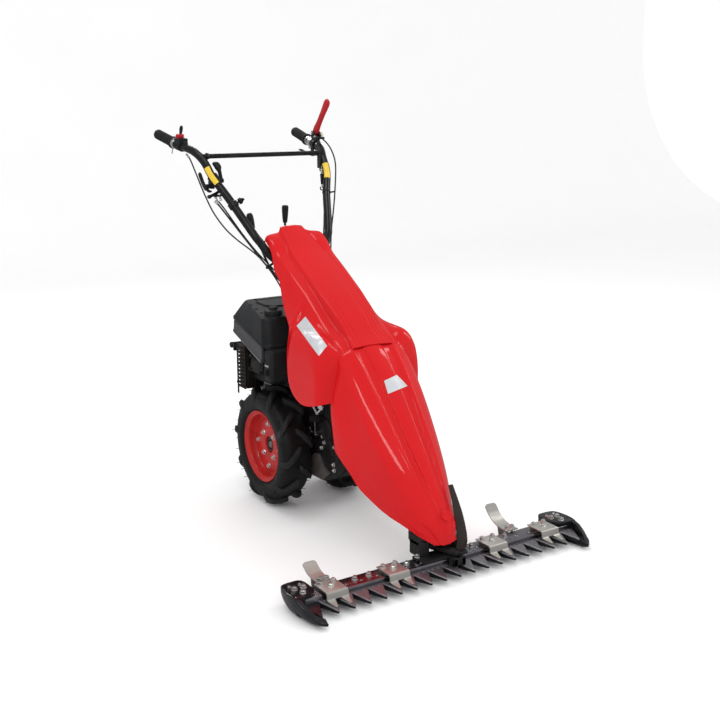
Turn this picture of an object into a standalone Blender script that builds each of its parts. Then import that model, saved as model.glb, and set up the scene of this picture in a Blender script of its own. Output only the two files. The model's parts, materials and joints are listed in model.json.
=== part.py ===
# Walk-behind motor mower with a one metre cutter bar, as separate pieces at their real size.
# X points to the machine's left, Y from the tooth tips to the rear, Z up from the ground. Metres.
import math

import bmesh
import bpy
from mathutils import Matrix, Vector

# Driving dimensions of the whole machine
gap = 0.0003
runGap = 0.0003
toothPitch = 0.0508
fullTeeth = 17
tubeRadius = 0.0135
sheet = 0.004
shellWall = 0.003

# Cutter bar
toothFloor = 0.020
toothPlate = 0.006
toothRoot = 0.0205
toothTip = 0.0022
toothValley = 0.042
barFront = 0.0668
barRear = 0.1260
barTop = 0.0480
barEndReach = 0.0128
knifeSheet = 0.003
knifeBackFront = 0.0470
knifeBackHeight = 0.0062
holdDownPlace = (-7.5, -3.5, 3.5, 7.5)
shoeHeight = 0.060
skidWidth = 0.038

# Knife drive
armPivotY = 0.1300
armLength = 0.0750
armSwing = math.asin(toothPitch / 2 / armLength)
armFloor = 0.0620
armThick = 0.0120
rollerRadius = 0.0060

# Running gear
tyreRadius = 0.202
tyreHalfWidth = 0.0475
trackHalf = 0.1325
lugHeight = 0.015
wheelSides = 24
lugsPerSide = 12
rimRadius = 0.1208
barrelRadius = 0.1075
axleRadius = 0.015
axleY = 0.865
caseHalf = 0.056
towerTop = 0.580
crankZ = 0.485
bellRadius = 0.070

# Handlebar
pivotY = 0.900
pivotZ = 0.800
crossbarY = 1.137
crossbarZ = 1.153
crossbarRadius = 0.008
gripRadius = 0.0175
columnRadius = 0.018

# Engine
cowlTop = 0.652
cowlFloorFront = 0.562
cowlFloorSlope = 0.145
cowlFront = 0.770
cowlRear = 1.150
recoilRadius = 0.085

# Derived places
endTooth = (fullTeeth + 1) // 2
barHalf = endTooth * toothPitch + barEndReach
knifeFloor = toothFloor + toothPlate + gap
knifeTop = knifeFloor + knifeSheet
backTop = knifeTop + knifeBackHeight
deckFloor = barTop + gap
axleZ = tyreRadius
shoeTip = -0.0355
gripStart = Vector((0.2645, 1.297, 1.194))
gripEnd = Vector((0.2760, 1.410, 1.2205))
gripWay = (gripEnd - gripStart).normalized()
gripEndRadius = gripRadius - 0.003
yMiddle = (shoeTip + gripEnd.y + gripEndRadius * math.sqrt(1 - gripWay.y ** 2)) / 2
columnFoot = Vector((0, 0.635, towerTop + 0.004))
tiltPivot = Vector((0, pivotY, pivotZ))
leverPivot = Vector((-0.0580, 0.665, towerTop + 0.013))
rodFoot = Vector((0.0200, 0.700, 0.668))
rodGuide = Vector((0.0185, 0.900, 0.852))

# Colour, roughness and metallic of each finish
looks = {
    "redPaint": ((0.62, 0.020, 0.024), 0.22, 0.0),
    "rimRed": ((0.50, 0.016, 0.014), 0.35, 0.0),
    "blackPaint": ((0.018, 0.018, 0.019), 0.35, 0.0),
    "rubber": ((0.022, 0.022, 0.023), 0.85, 0.0),
    "plastic": ((0.045, 0.046, 0.048), 0.5, 0.0),
    "greyPlastic": ((0.16, 0.16, 0.165), 0.5, 0.0),
    "steel": ((0.50, 0.49, 0.46), 0.32, 1.0),
    "zinc": ((0.60, 0.60, 0.58), 0.30, 1.0),
    "castIron": ((0.060, 0.058, 0.058), 0.6, 0.3),
    "alloy": ((0.42, 0.42, 0.43), 0.45, 0.9),
    "darkSteel": ((0.055, 0.040, 0.040), 0.28, 0.8),
    "hotSteel": ((0.20, 0.15, 0.11), 0.55, 0.8),
    "redPlastic": ((0.55, 0.018, 0.02), 0.4, 0.0),
}

for old in list(bpy.data.objects):
    bpy.data.objects.remove(old, do_unlink=True)
scene = bpy.context.scene
placed = {}


# Shape helpers. Each returns one closed mesh object in machine coordinates.
def shapeFrom(verts, faces):
    mesh = bpy.data.meshes.new("shape")
    mesh.from_pydata([tuple(v) for v in verts], [], faces)
    work = bmesh.new()
    work.from_mesh(mesh)
    bmesh.ops.recalc_face_normals(work, faces=work.faces)
    work.to_mesh(mesh)
    work.free()
    shape = bpy.data.objects.new("shape", mesh)
    scene.collection.objects.link(shape)
    return shape


def block(x0, x1, y0, y1, z0, z1, bevel=0.0):
    corners = [(x, y, z) for x in (x0, x1) for y in (y0, y1) for z in (z0, z1)]
    sides = [(0, 1, 3, 2), (4, 6, 7, 5), (0, 4, 5, 1), (2, 3, 7, 6), (0, 2, 6, 4), (1, 5, 7, 3)]
    shape = shapeFrom(corners, sides)
    if bevel:
        work = bmesh.new()
        work.from_mesh(shape.data)
        bmesh.ops.bevel(work, geom=work.edges, offset=bevel, segments=1, affect="EDGES")
        work.to_mesh(shape.data)
        work.free()
    return shape


def prism(outline, axis, low, high):
    # The outline's two numbers are the other two axes in X, Y, Z order.
    def place(pair, level):
        numbers = list(pair)
        numbers.insert(axis, level)
        return numbers

    count = len(outline)
    verts = [place(p, low) for p in outline] + [place(p, high) for p in outline]
    faces = [tuple(range(count)), tuple(range(count, 2 * count))]
    faces += [(i, (i + 1) % count, (i + 1) % count + count, i + count) for i in range(count)]
    return shapeFrom(verts, faces)


def ringAround(centre, along, radius, sides, turn=0.0):
    along = Vector(along).normalized()
    side = along.orthogonal().normalized()
    if abs(along.z) < 0.999:
        side = Vector((0, 0, 1)).cross(along).normalized()
    up = along.cross(side)
    angles = [turn + 2 * math.pi * i / sides for i in range(sides)]
    return [Vector(centre) + radius * (math.cos(a) * side + math.sin(a) * up) for a in angles]


def loft(rings):
    count = len(rings[0])
    verts = [v for ring in rings for v in ring]
    faces = [tuple(range(count)), tuple(range(len(verts) - count, len(verts)))]
    for r in range(len(rings) - 1):
        for i in range(count):
            j = (i + 1) % count
            faces.append((r * count + i, r * count + j, (r + 1) * count + j, (r + 1) * count + i))
    return shapeFrom(verts, faces)


def turned(profile, centre, along, sides=24, turn=0.0):
    # A closed band of (distance along the axis, radius) pairs, turned round the axis.
    along = Vector(along).normalized()
    rings = [ringAround(Vector(centre) + d * along, along, r, sides, turn) for d, r in profile]
    count = len(rings)
    verts = [v for ring in rings for v in ring]
    faces = []
    for r in range(count):
        for i in range(sides):
            j = (i + 1) % sides
            s = (r + 1) % count
            faces.append((r * sides + i, r * sides + j, s * sides + j, s * sides + i))
    return shapeFrom(verts, faces)


def rod(start, end, radius, sides=12, endRadius=None, turn=0.0):
    along = Vector(end) - Vector(start)
    last = radius if endRadius is None else endRadius
    return loft([ringAround(start, along, radius, sides, turn), ringAround(end, along, last, sides, turn)])


def bore(start, end, radius, sides=12):
    # A cutter whose flats clear a round bar of this radius.
    return rod(start, end, radius / math.cos(math.pi / sides), sides)


def stepped(centre, along, steps, sides=16, turn=0.0):
    # A solid turning: (distance along the axis, radius) from end to end.
    along = Vector(along).normalized()
    return loft([ringAround(Vector(centre) + d * along, along, r, sides, turn) for d, r in steps])


def curveThrough(points, spacing):
    # Points at an even spacing on a smooth curve through the given ones.
    points = [Vector(p) for p in points]
    ends = [2 * points[0] - points[1]] + points + [2 * points[-1] - points[-2]]
    fine = []
    for i in range(1, len(ends) - 2):
        p0, p1, p2, p3 = ends[i - 1:i + 3]
        for k in range(12):
            t = k / 12
            fine.append(0.5 * (2 * p1 + (p2 - p0) * t + (2 * p0 - 5 * p1 + 4 * p2 - p3) * t * t
                               + (3 * p1 - p0 - 3 * p2 + p3) * t ** 3))
    fine.append(points[-1])
    lengths = [0.0]
    for a, b in zip(fine, fine[1:]):
        lengths.append(lengths[-1] + (b - a).length)
    steps = max(2, round(lengths[-1] / spacing))
    even = []
    place = 0
    for s in range(steps + 1):
        goal = lengths[-1] * s / steps
        while place < len(fine) - 2 and lengths[place + 1] < goal:
            place += 1
        share = (goal - lengths[place]) / (lengths[place + 1] - lengths[place])
        even.append(fine[place].lerp(fine[place + 1], share))
    return even


def tube(points, radius, sides=8):
    points = [Vector(p) for p in points]
    rings = []
    side = None
    for i, point in enumerate(points):
        before = points[max(i - 1, 0)]
        after = points[min(i + 1, len(points) - 1)]
        along = (after - before).normalized()
        if side is None:
            side = Vector((1, 0, 0)) - along.x * along
            if side.length < 0.1:
                side = along.orthogonal()
        side = (side - side.dot(along) * along).normalized()
        up = along.cross(side)
        angles = [2 * math.pi * k / sides for k in range(sides)]
        rings.append([point + radius * (math.cos(a) * side + math.sin(a) * up) for a in angles])
    return loft(rings)


def strip(stations, thick):
    # Sheet metal bent along (y, z) with its two side edges at x0 and x1.
    rings = []
    for i, (y, z, x0, x1) in enumerate(stations):
        y0, z0 = stations[max(i - 1, 0)][:2]
        y1, z1 = stations[min(i + 1, len(stations) - 1)][:2]
        run = Vector((y - y0, z - z0)) if i else Vector((y1 - y, z1 - z))
        on = Vector((y1 - y, z1 - z)) if i < len(stations) - 1 else run
        run.normalize()
        on.normalize()
        across = Vector((-(run.y + on.y), run.x + on.x)).normalized()
        reach = thick / 2 / max(0.4, across.dot(Vector((-run.y, run.x))))
        up = (y + across.x * reach, z + across.y * reach)
        down = (y - across.x * reach, z - across.y * reach)
        rings.append([(x0, *down), (x1, *down), (x1, *up), (x0, *up)])
    return loft(rings)


def shell(rows, wall, squareRow):
    # A sheet of points, thickened inwards to a closed wall. Rows run from edge to edge,
    # and the wall of the square row stays in that row's plane, for a butted seam.
    rows = [[Vector(p) for p in row] for row in rows]
    down = len(rows)
    across = len(rows[0])
    inner = []
    for r in range(down):
        line = []
        for c in range(across):
            along = rows[min(r + 1, down - 1)][c] - rows[max(r - 1, 0)][c]
            over = rows[r][min(c + 1, across - 1)] - rows[r][max(c - 1, 0)]
            inward = along.cross(over).normalized()
            if r == squareRow % down:
                flat = Vector((inward.x, 0, inward.z))
                inward = flat / max(0.5, flat.length) ** 2
            line.append(rows[r][c] + wall * inward)
        inner.append(line)
    verts = [v for row in rows for v in row] + [v for row in inner for v in row]
    half = down * across

    def at(r, c, side):
        return side * half + r * across + c

    faces = []
    for r in range(down - 1):
        for c in range(across - 1):
            for side in (0, 1):
                faces.append((at(r, c, side), at(r + 1, c, side), at(r + 1, c + 1, side), at(r, c + 1, side)))
        for c in (0, across - 1):
            faces.append((at(r, c, 0), at(r + 1, c, 0), at(r + 1, c, 1), at(r, c, 1)))
    for c in range(across - 1):
        for r in (0, down - 1):
            faces.append((at(r, c, 0), at(r, c + 1, 0), at(r, c + 1, 1), at(r, c, 1)))
    return shapeFrom(verts, faces)


def hexNut(x, y, low, across=0.013, high=0.008):
    return rod((x, y, low), (x, y, low + high), across / 2 / math.cos(math.pi / 6), 6)


def valueAt(table, y):
    # A value read between the places of a short hand-set table.
    if y <= table[0][0]:
        return table[0][1]
    for (y0, v0), (y1, v1) in zip(table, table[1:]):
        if y <= y1:
            return v0 + (v1 - v0) * (y - y0) / (y1 - y0)
    return table[-1][1]


# Assembly helpers
def combine(base, tools, operation):
    group = bpy.data.collections.new("tools")
    for tool in tools:
        group.objects.link(tool)
    change = base.modifiers.new("combine", "BOOLEAN")
    change.operation = operation
    change.solver = "EXACT"
    change.operand_type = "COLLECTION"
    change.collection = group
    graph = bpy.context.evaluated_depsgraph_get()
    result = bpy.data.meshes.new_from_object(base.evaluated_get(graph))
    base.modifiers.clear()
    base.data = result
    for tool in tools:
        bpy.data.objects.remove(tool, do_unlink=True)
    bpy.data.collections.remove(group)


def piece(name, look, shapes, cuts=(), pivot=(0, 0, 0), carrier=None):
    # Joins the shapes to one solid, cuts it, and puts its origin on its joint's axis.
    solid = shapes[0]
    if len(shapes) > 1:
        combine(solid, shapes[1:], "UNION")
    if cuts:
        combine(solid, list(cuts), "DIFFERENCE")
    origin = Vector(pivot)
    solid.data.transform(Matrix.Translation(-origin))
    solid.name = name
    solid.data.name = name
    colour, roughness, metallic = looks[look]
    finish = bpy.data.materials.new(name + "_finish")
    finish.use_nodes = True
    shader = finish.node_tree.nodes["Principled BSDF"]
    shader.inputs["Base Color"].default_value = (*colour, 1)
    shader.inputs["Roughness"].default_value = roughness
    shader.inputs["Metallic"].default_value = metallic
    solid.data.materials.clear()
    solid.data.materials.append(finish)
    solid.data.shade_smooth()
    solid.data.set_sharp_from_angle(angle=math.radians(35))
    place = origin - Vector((0, yMiddle, 0))
    placed[name] = place
    if carrier:
        solid.parent = bpy.data.objects[carrier]
        place = place - placed[carrier]
    solid.location = place
    return solid


# Cutter bar
def comb(first, last, front, valley, back, endHalf):
    # Pointed teeth from tooth number first to last, on a straight strip.
    points = []
    for k in range(first, last + 1):
        x = k * toothPitch
        left = toothRoot if k > first or endHalf is None else endHalf
        right = toothRoot if k < last or endHalf is None else endHalf
        tipLeft = min(left, toothTip)
        tipRight = min(right, toothTip)
        points += [(x - left, valley), (x - tipLeft, front), (x + tipRight, front), (x + right, valley)]
    return [(points[0][0], back)] + points + [(points[-1][0], back)]


def fingerBar():
    teeth = prism(comb(-endTooth, endTooth, 0, toothValley, barRear - 0.002, toothTip + 0.0004),
                  2, toothFloor, toothFloor + toothPlate)
    body = block(-barHalf, barHalf, barFront, barRear, toothFloor + 0.002, barTop, 0.0015)
    nuts = []
    for x in (-0.292, -0.246, -0.116, 0.116, 0.246):
        nuts.append(hexNut(x, 0.104, barTop - 0.001))
    piece("finger_bar", "darkSteel", [body, teeth] + nuts)


def knife():
    blades = prism(comb(-endTooth + 1, endTooth, 0.001, 0.050, barFront - 2 * gap, None), 2, knifeFloor, knifeTop)
    left = (-endTooth + 1) * toothPitch - toothRoot
    right = endTooth * toothPitch + toothRoot
    back = block(left, right, knifeBackFront, barFront - 2 * gap, knifeFloor + 0.001, backTop)
    x = toothPitch / 2
    head = block(x - 0.021, x + 0.021, 0.038, barFront - 2 * gap, knifeTop - 0.001, armFloor - 0.004, 0.001)
    slot = block(x - rollerRadius - 0.001, x + rollerRadius + 0.001, 0.0455, 0.08, 0.0400, 0.09)
    piece("knife", "steel", [back, blades, head], [slot])


def holdDown(number, place):
    x = place * toothPitch
    low = 0.056
    plate = strip([(0.118, low + 0.002, x - 0.0335, x + 0.0335), (0.057, low + 0.002, x - 0.0335, x + 0.0335),
                   (0.0505, 0.0545, x - 0.0335, x + 0.0335), (0.0475, 0.0395, x - 0.0345, x + 0.0345)], sheet)
    shapes = [plate, block(x - 0.024, x + 0.024, 0.074, 0.114, deckFloor, low + 0.001)]
    for side in (-0.5, 0.5):
        tip = x + side * toothPitch
        shapes.append(strip([(0.0490, 0.0410, tip - 0.0130, tip + 0.0130), (0.032, 0.0385, tip - 0.0100, tip + 0.0100),
                             (0.010, 0.0358, tip - 0.0030, tip + 0.0030)], sheet))
    for dx, y in ((-0.020, 0.104), (0.020, 0.104), (0.0, 0.082)):
        shapes.append(hexNut(x + dx, y, low + 0.003, high=0.010))
    piece("hold_down_" + str(number), "steel", shapes)


def endShoe(name, side):
    outer = [(0.4603, 0.0666), (0.4603, -0.002), (0.4560, -0.013), (0.4600, shoeTip), (0.4650, -0.0340),
             (0.4810, -0.0180), (0.4930, 0.0100), (0.5010, 0.0450), (0.5050, 0.0800), (0.5050, 0.1100),
             (0.5020, 0.1400), (0.4960, 0.1570), (0.4840, 0.1660), (0.4400, 0.1670), (0.4290, 0.1600),
             (0.4260, 0.1450), (0.4260, 0.0950), (0.4400, 0.0800), (0.4603, 0.0760)]
    body = prism([(side * x, y) for x, y in outer], 2, 0, shoeHeight)
    slope = prism([(-0.10, 0.012), (-0.036, 0.021), (0.000, 0.032), (0.045, 0.052), (0.085, shoeHeight),
                   (0.085, 0.10), (-0.10, 0.10)], 0, -0.6, 0.6)
    pocket = prism([(side * x, y) for x, y in [(0.40, barFront - gap), (0.4845, barFront - gap), (0.4860, 0.050),
                                               (0.4800, 0.015), (0.4690, -0.004), (0.4600, -0.016),
                                               (0.40, -0.016)]], 2, toothFloor + toothPlate - gap, 0.1)
    ends = sorted((0, side * (barHalf + gap)))
    notch = block(*ends, 0.0, barRear + gap, -0.01, barTop + gap)
    rearEdge = prism([(0.120, 0.000), (0.180, 0.000), (0.180, 0.032)], 0, -0.6, 0.6)
    nuts = []
    for x, y in ((0.442, 0.104), (0.466, 0.100), (0.456, 0.132)):
        nuts.append(hexNut(side * x, y, shoeHeight - 0.001, across=0.012, high=0.006))
    shoe = shapeCut(body, [slope, pocket, notch, rearEdge])
    piece(name, "blackPaint", [shoe] + nuts)


def shapeCut(base, cuts):
    combine(base, cuts, "DIFFERENCE")
    return base


def skid(name, x, path):
    half = skidWidth / 2
    shapes = [strip([(y, z, x - half, x + half) for y, z in path], sheet)]
    shapes.append(block(x - half, x + half, barRear - 0.0075, barRear + 0.016, deckFloor, deckFloor + sheet))
    for dx in (-0.011, 0.011):
        shapes.append(rod((x + dx, barRear + 0.0085, 0.004), (x + dx, barRear + 0.0085, 0.066), 0.004, 6))
        shapes.append(hexNut(x + dx, barRear + 0.0085, deckFloor + sheet - 0.001, across=0.0125))
    piece(name, "steel", shapes)


# Knife drive and nose
def cutterDrive():
    body = block(-0.036, 0.036, 0.105, 0.198, 0.078, 0.150, 0.006)
    shapes = [body, block(-0.086, 0.086, 0.125, 0.165, 0.0785, 0.103)]
    for side in (-1, 1):
        ends = sorted((side * 0.052, side * 0.085))
        shapes.append(block(*ends, 0.102, 0.163, deckFloor + 0.002, 0.101))
        feet = sorted((side * 0.047, side * 0.098))
        shapes.append(block(*feet, 0.0985, 0.1258, deckFloor, deckFloor + 0.009))
        shapes.append(hexNut(side * 0.091, 0.112, deckFloor + 0.008))
    noseWay = Vector((0, -0.857, 0.515))
    start = Vector((0, 0.077, 0.183)) - 0.0223 * noseWay
    shapes.append(rod(start, start - 0.030 * noseWay, 0.009, 10))
    socket = bore((0, armPivotY, 0.05), (0, armPivotY, 0.120), 0.012 + runGap, 14)
    piece("cutter_drive", "blackPaint", shapes, [socket])


def swingArm():
    # The arm swings the knife through one tooth pitch. It rests at one end of its stroke.
    pivot = Vector((0, armPivotY, armFloor))
    way = Vector((math.sin(armSwing), -math.cos(armSwing), 0))
    roller = pivot + armLength * way
    side = Vector((way.y, -way.x, 0))
    rings = []
    for reach, half in ((-0.010, 0.010), (0.0, 0.017), (0.045, 0.0125), (armLength + 0.004, 0.011),
                        (armLength + 0.010, 0.006)):
        c = pivot + reach * way
        up = Vector((0, 0, armThick))
        rings.append([c - half * side, c + half * side, c + half * side + up, c - half * side + up])
    pin = rod(roller - Vector((0, 0, armFloor - 0.0425)), roller + Vector((0, 0, 0.006)), rollerRadius, 12)
    shaft = rod(pivot + Vector((0, 0, 0.004)), pivot + Vector((0, 0, 0.056)), 0.012, 16)
    piece("swing_arm", "darkSteel", [loft(rings), pin, shaft], pivot=pivot)


def guardPlate():
    flange = strip([(0.0970, deckFloor + 0.002, 0.036, 0.077), (0.0815, deckFloor + 0.002, 0.036, 0.077),
                    (0.0795, 0.060, 0.037, 0.078), (0.0790, 0.108, 0.050, 0.083), (0.0860, 0.172, 0.041, 0.073),
                    (0.1150, 0.253, 0.045, 0.059)], sheet)
    piece("guard_plate", "blackPaint", [flange])


def driveTube():
    start = Vector((0, 0.1985, 0.120))
    end = Vector((0, 0.5745, 0.232))
    way = (end - start).normalized()
    shapes = [stepped(start, way, [(0.002, 0.036), (0.016, 0.036), (0.017, 0.030),
                                   ((end - start).length - 0.018, 0.030), ((end - start).length - 0.017, 0.044),
                                   ((end - start).length + 0.010, 0.044)], 16)]
    cuts = [block(-0.2, 0.2, 0.10, 0.1985, 0, 0.3), block(-0.2, 0.2, 0.5747, 0.7, 0, 0.5)]
    piece("drive_tube", "blackPaint", shapes, cuts)


# Transmission
def gearbox():
    side = [(0.600, 0.150), (0.660, 0.125), (0.900, 0.125), (0.945, 0.170), (0.945, 0.300), (0.925, 0.3600),
            (0.700, 0.3600), (0.680, 0.400), (0.680, towerTop), (0.600, towerTop), (0.575, 0.500), (0.575, 0.200)]
    body = prism(side, 0, -caseHalf, caseHalf)
    work = bmesh.new()
    work.from_mesh(body.data)
    bmesh.ops.bevel(work, geom=[e for e in work.edges if abs(e.verts[0].co.x - e.verts[1].co.x) < 1e-6],
                    offset=0.009, segments=1, affect="EDGES")
    work.to_mesh(body.data)
    work.free()
    shapes = [body, rod((-0.070, axleY, axleZ), (0.070, axleY, axleZ), 0.040, 16)]
    for y, z, r in ((0.640, 0.300, 0.034), (0.790, 0.240, 0.046)):
        shapes.append(rod((-caseHalf - 0.008, y, z), (caseHalf + 0.008, y, z), r, 12))
    for y, z in ((0.600, 0.190), (0.600, 0.470), (0.905, 0.320), (0.660, 0.540)):
        shapes.append(rod((-caseHalf - 0.005, y, z), (caseHalf + 0.005, y, z), 0.0085, 6))
    shapes.append(block(-0.052, -0.036, 0.655, 0.675, towerTop - 0.005, leverPivot.z + 0.006, 0.002))
    tunnel = bore((-0.2, axleY, axleZ), (0.2, axleY, axleZ), axleRadius + runGap, 16)
    shapes.append(rod(leverPivot + Vector((0.012, 0, 0)), leverPivot - Vector((0.008, 0, 0)), 0.003, 10))
    piece("gearbox", "castIron", shapes, [tunnel])


def clutchBell():
    steps = [(0.0, 0.050), (0.012, 0.052), (0.030, bellRadius - 0.004), (0.100, bellRadius), (0.1192, bellRadius)]
    shapes = [stepped((0, 0.6803, crankZ), (0, 1, 0), steps, 20)]
    piece("clutch_bell", "alloy", shapes)


def axle():
    reach = trackHalf + 0.024
    steps = [(-reach - 0.010, 0.012), (-reach, 0.0125), (-reach + 0.003, axleRadius), (reach - 0.003, axleRadius),
             (reach, 0.0125), (reach + 0.010, 0.012)]
    piece("axle", "steel", [stepped((0, axleY, axleZ), (1, 0, 0), steps, 16)], pivot=(0, axleY, axleZ))


def wheel(name, side):
    centre = Vector((side * trackHalf, axleY, axleZ))
    way = (side, 0, 0)
    half = tyreHalfWidth - 0.0005
    lip = half - 0.003
    seat = barrelRadius
    web = barrelRadius - 0.0035
    band = [(half, rimRadius), (lip, rimRadius), (lip - 0.001, seat), (-lip + 0.001, seat), (-lip, rimRadius),
            (-half, rimRadius), (-half + 0.001, web), (0.003, web), (-0.008, 0.034),
            (-0.040, 0.034), (-0.040, axleRadius + runGap), (0.022, axleRadius + runGap), (0.022, 0.032),
            (-0.003, 0.033), (0.008, web), (half - 0.001, web)]
    shapes = [turned(band, centre, way, wheelSides)]
    piece("rim_" + name, "rimRed", shapes, pivot=centre, carrier="axle")
    inner = barrelRadius + gap * 1.3
    crown = tyreRadius - lugHeight
    hold = lip - 0.001 - gap * 2
    section = [(hold, inner), (lip - gap * 1.5, rimRadius + 0.001), (tyreHalfWidth, 0.147), (0.0440, 0.170),
               (0.026, crown - 0.002), (-0.026, crown - 0.002), (-0.0440, 0.170), (-tyreHalfWidth, 0.147),
               (-lip + gap * 1.5, rimRadius + 0.001), (-hold, inner)]
    shapes = [turned(section, centre, way, wheelSides)]
    for k in range(lugsPerSide):
        for flank in (-1, 1):
            shapes.append(tyreLug(centre, side, flank, 2 * math.pi * (k + (0.25 if flank > 0 else 0.75)) / lugsPerSide))
    piece("tyre_" + name, "rubber", shapes, pivot=centre, carrier="axle")


def tyreLug(centre, side, flank, start):
    # One bar of the chevron tread, from the middle of the crown down over the shoulder.
    rings = []
    top = tyreRadius
    for out, low, high, lag in ((-0.002, 0.176, top, 0.0), (0.036, 0.162, top - 0.004, 0.175),
                                (0.0468, 0.150, 0.176, 0.225)):
        a = start + lag
        half = 0.0105
        corners = []
        for r, w in ((low, -half), (low, half), (high, half * 0.8), (high, -half * 0.8)):
            t = a + w / r
            corners.append(centre + Vector((side * flank * out, -r * math.sin(t), r * math.cos(t))))
        rings.append(corners)
    return loft(rings)


# Red hoods
def mirrored(half):
    # A full row from a half section, from the right edge over the middle to the left edge.
    right = [(-x, y, z) for x, y, z in reversed(half[1:])]
    return right + list(half)


def noseHood():
    sections = [
        [(0, 0.069, 0.092), (0.014, 0.069, 0.093), (0.025, 0.070, 0.096), (0.033, 0.073, 0.098), (0.040, 0.076, 0.100)],
        [(0, 0.065, 0.130), (0.021, 0.068, 0.131), (0.040, 0.080, 0.130), (0.049, 0.089, 0.118), (0.055, 0.097, 0.108)],
        [(0, 0.070, 0.165), (0.026, 0.078, 0.167), (0.059, 0.108, 0.150), (0.068, 0.116, 0.132), (0.070, 0.120, 0.119)],
        [(0, 0.085, 0.190), (0.031, 0.106, 0.193), (0.071, 0.137, 0.164), (0.080, 0.148, 0.148), (0.085, 0.166, 0.137)],
        [(0, 0.128, 0.240), (0.040, 0.138, 0.238), (0.081, 0.163, 0.205), (0.091, 0.182, 0.170), (0.095, 0.210, 0.145)],
        [(0, 0.186, 0.308), (0.051, 0.186, 0.303), (0.091, 0.190, 0.248), (0.098, 0.218, 0.197), (0.100, 0.264, 0.156)],
        [(0, 0.250, 0.382), (0.062, 0.249, 0.374), (0.106, 0.245, 0.316), (0.109, 0.280, 0.240), (0.108, 0.318, 0.178)],
        [(0, 0.314, 0.459), (0.067, 0.313, 0.452), (0.117, 0.308, 0.396), (0.118, 0.340, 0.290), (0.115, 0.365, 0.197)],
        [(0, 0.371, 0.523), (0.074, 0.370, 0.514), (0.121, 0.364, 0.472), (0.130, 0.380, 0.350), (0.125, 0.388, 0.236)],
        [(0, 0.416, 0.572), (0.076, 0.415, 0.563), (0.122, 0.412, 0.528), (0.144, 0.420, 0.390), (0.130, 0.418, 0.255)],
        [(0, 0.4548, 0.606), (0.078, 0.4548, 0.600), (0.122, 0.4548, 0.572), (0.152, 0.4548, 0.430),
         (0.135, 0.4548, 0.285)],
    ]
    rows = []
    for section in sections:
        c, k, s, m, e = [Vector(p) for p in section]
        top = (c + k) / 2 + Vector((0, -0.0005, 0.001))
        brow = (k + s) / 2 + Vector((0.004, -0.001, 0.004))
        rows.append([tuple(p) for p in (c, top, k, brow, s, (s + m) / 2, m, (m + e) / 2, e)])
    hood = shell([mirrored(row) for row in rows], shellWall, -1)
    hole = rod(plugCentre + 0.02 * plugWay, plugCentre - 0.03 * plugWay, 0.0070, 12)
    piece("nose_hood", "redPaint", [hood], [hole])


plugCentre = Vector((0, 0.0777, 0.1790))
plugWay = Vector((0, -0.857, 0.515)).normalized()


def nosePlug():
    steps = [(0.0060, 0.012), (0.0045, 0.0155), (0.0012, 0.0160), (0.0011, 0.0060), (-0.0190, 0.0060)]
    piece("nose_plug", "redPaint", [stepped(plugCentre, plugWay, steps, 14)])


# Height of the upper hood's spine, and of the nose hood's middle line, at places from front to rear
spineTop = [(0.456, 0.607), (0.50, 0.633), (0.557, 0.680), (0.631, 0.729), (0.742, 0.792), (0.855, 0.856),
            (0.960, 0.925)]
spineCrown = 0.003
noseLine = [(0.371, 0.523), (0.416, 0.572), (0.455, 0.606)]


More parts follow.
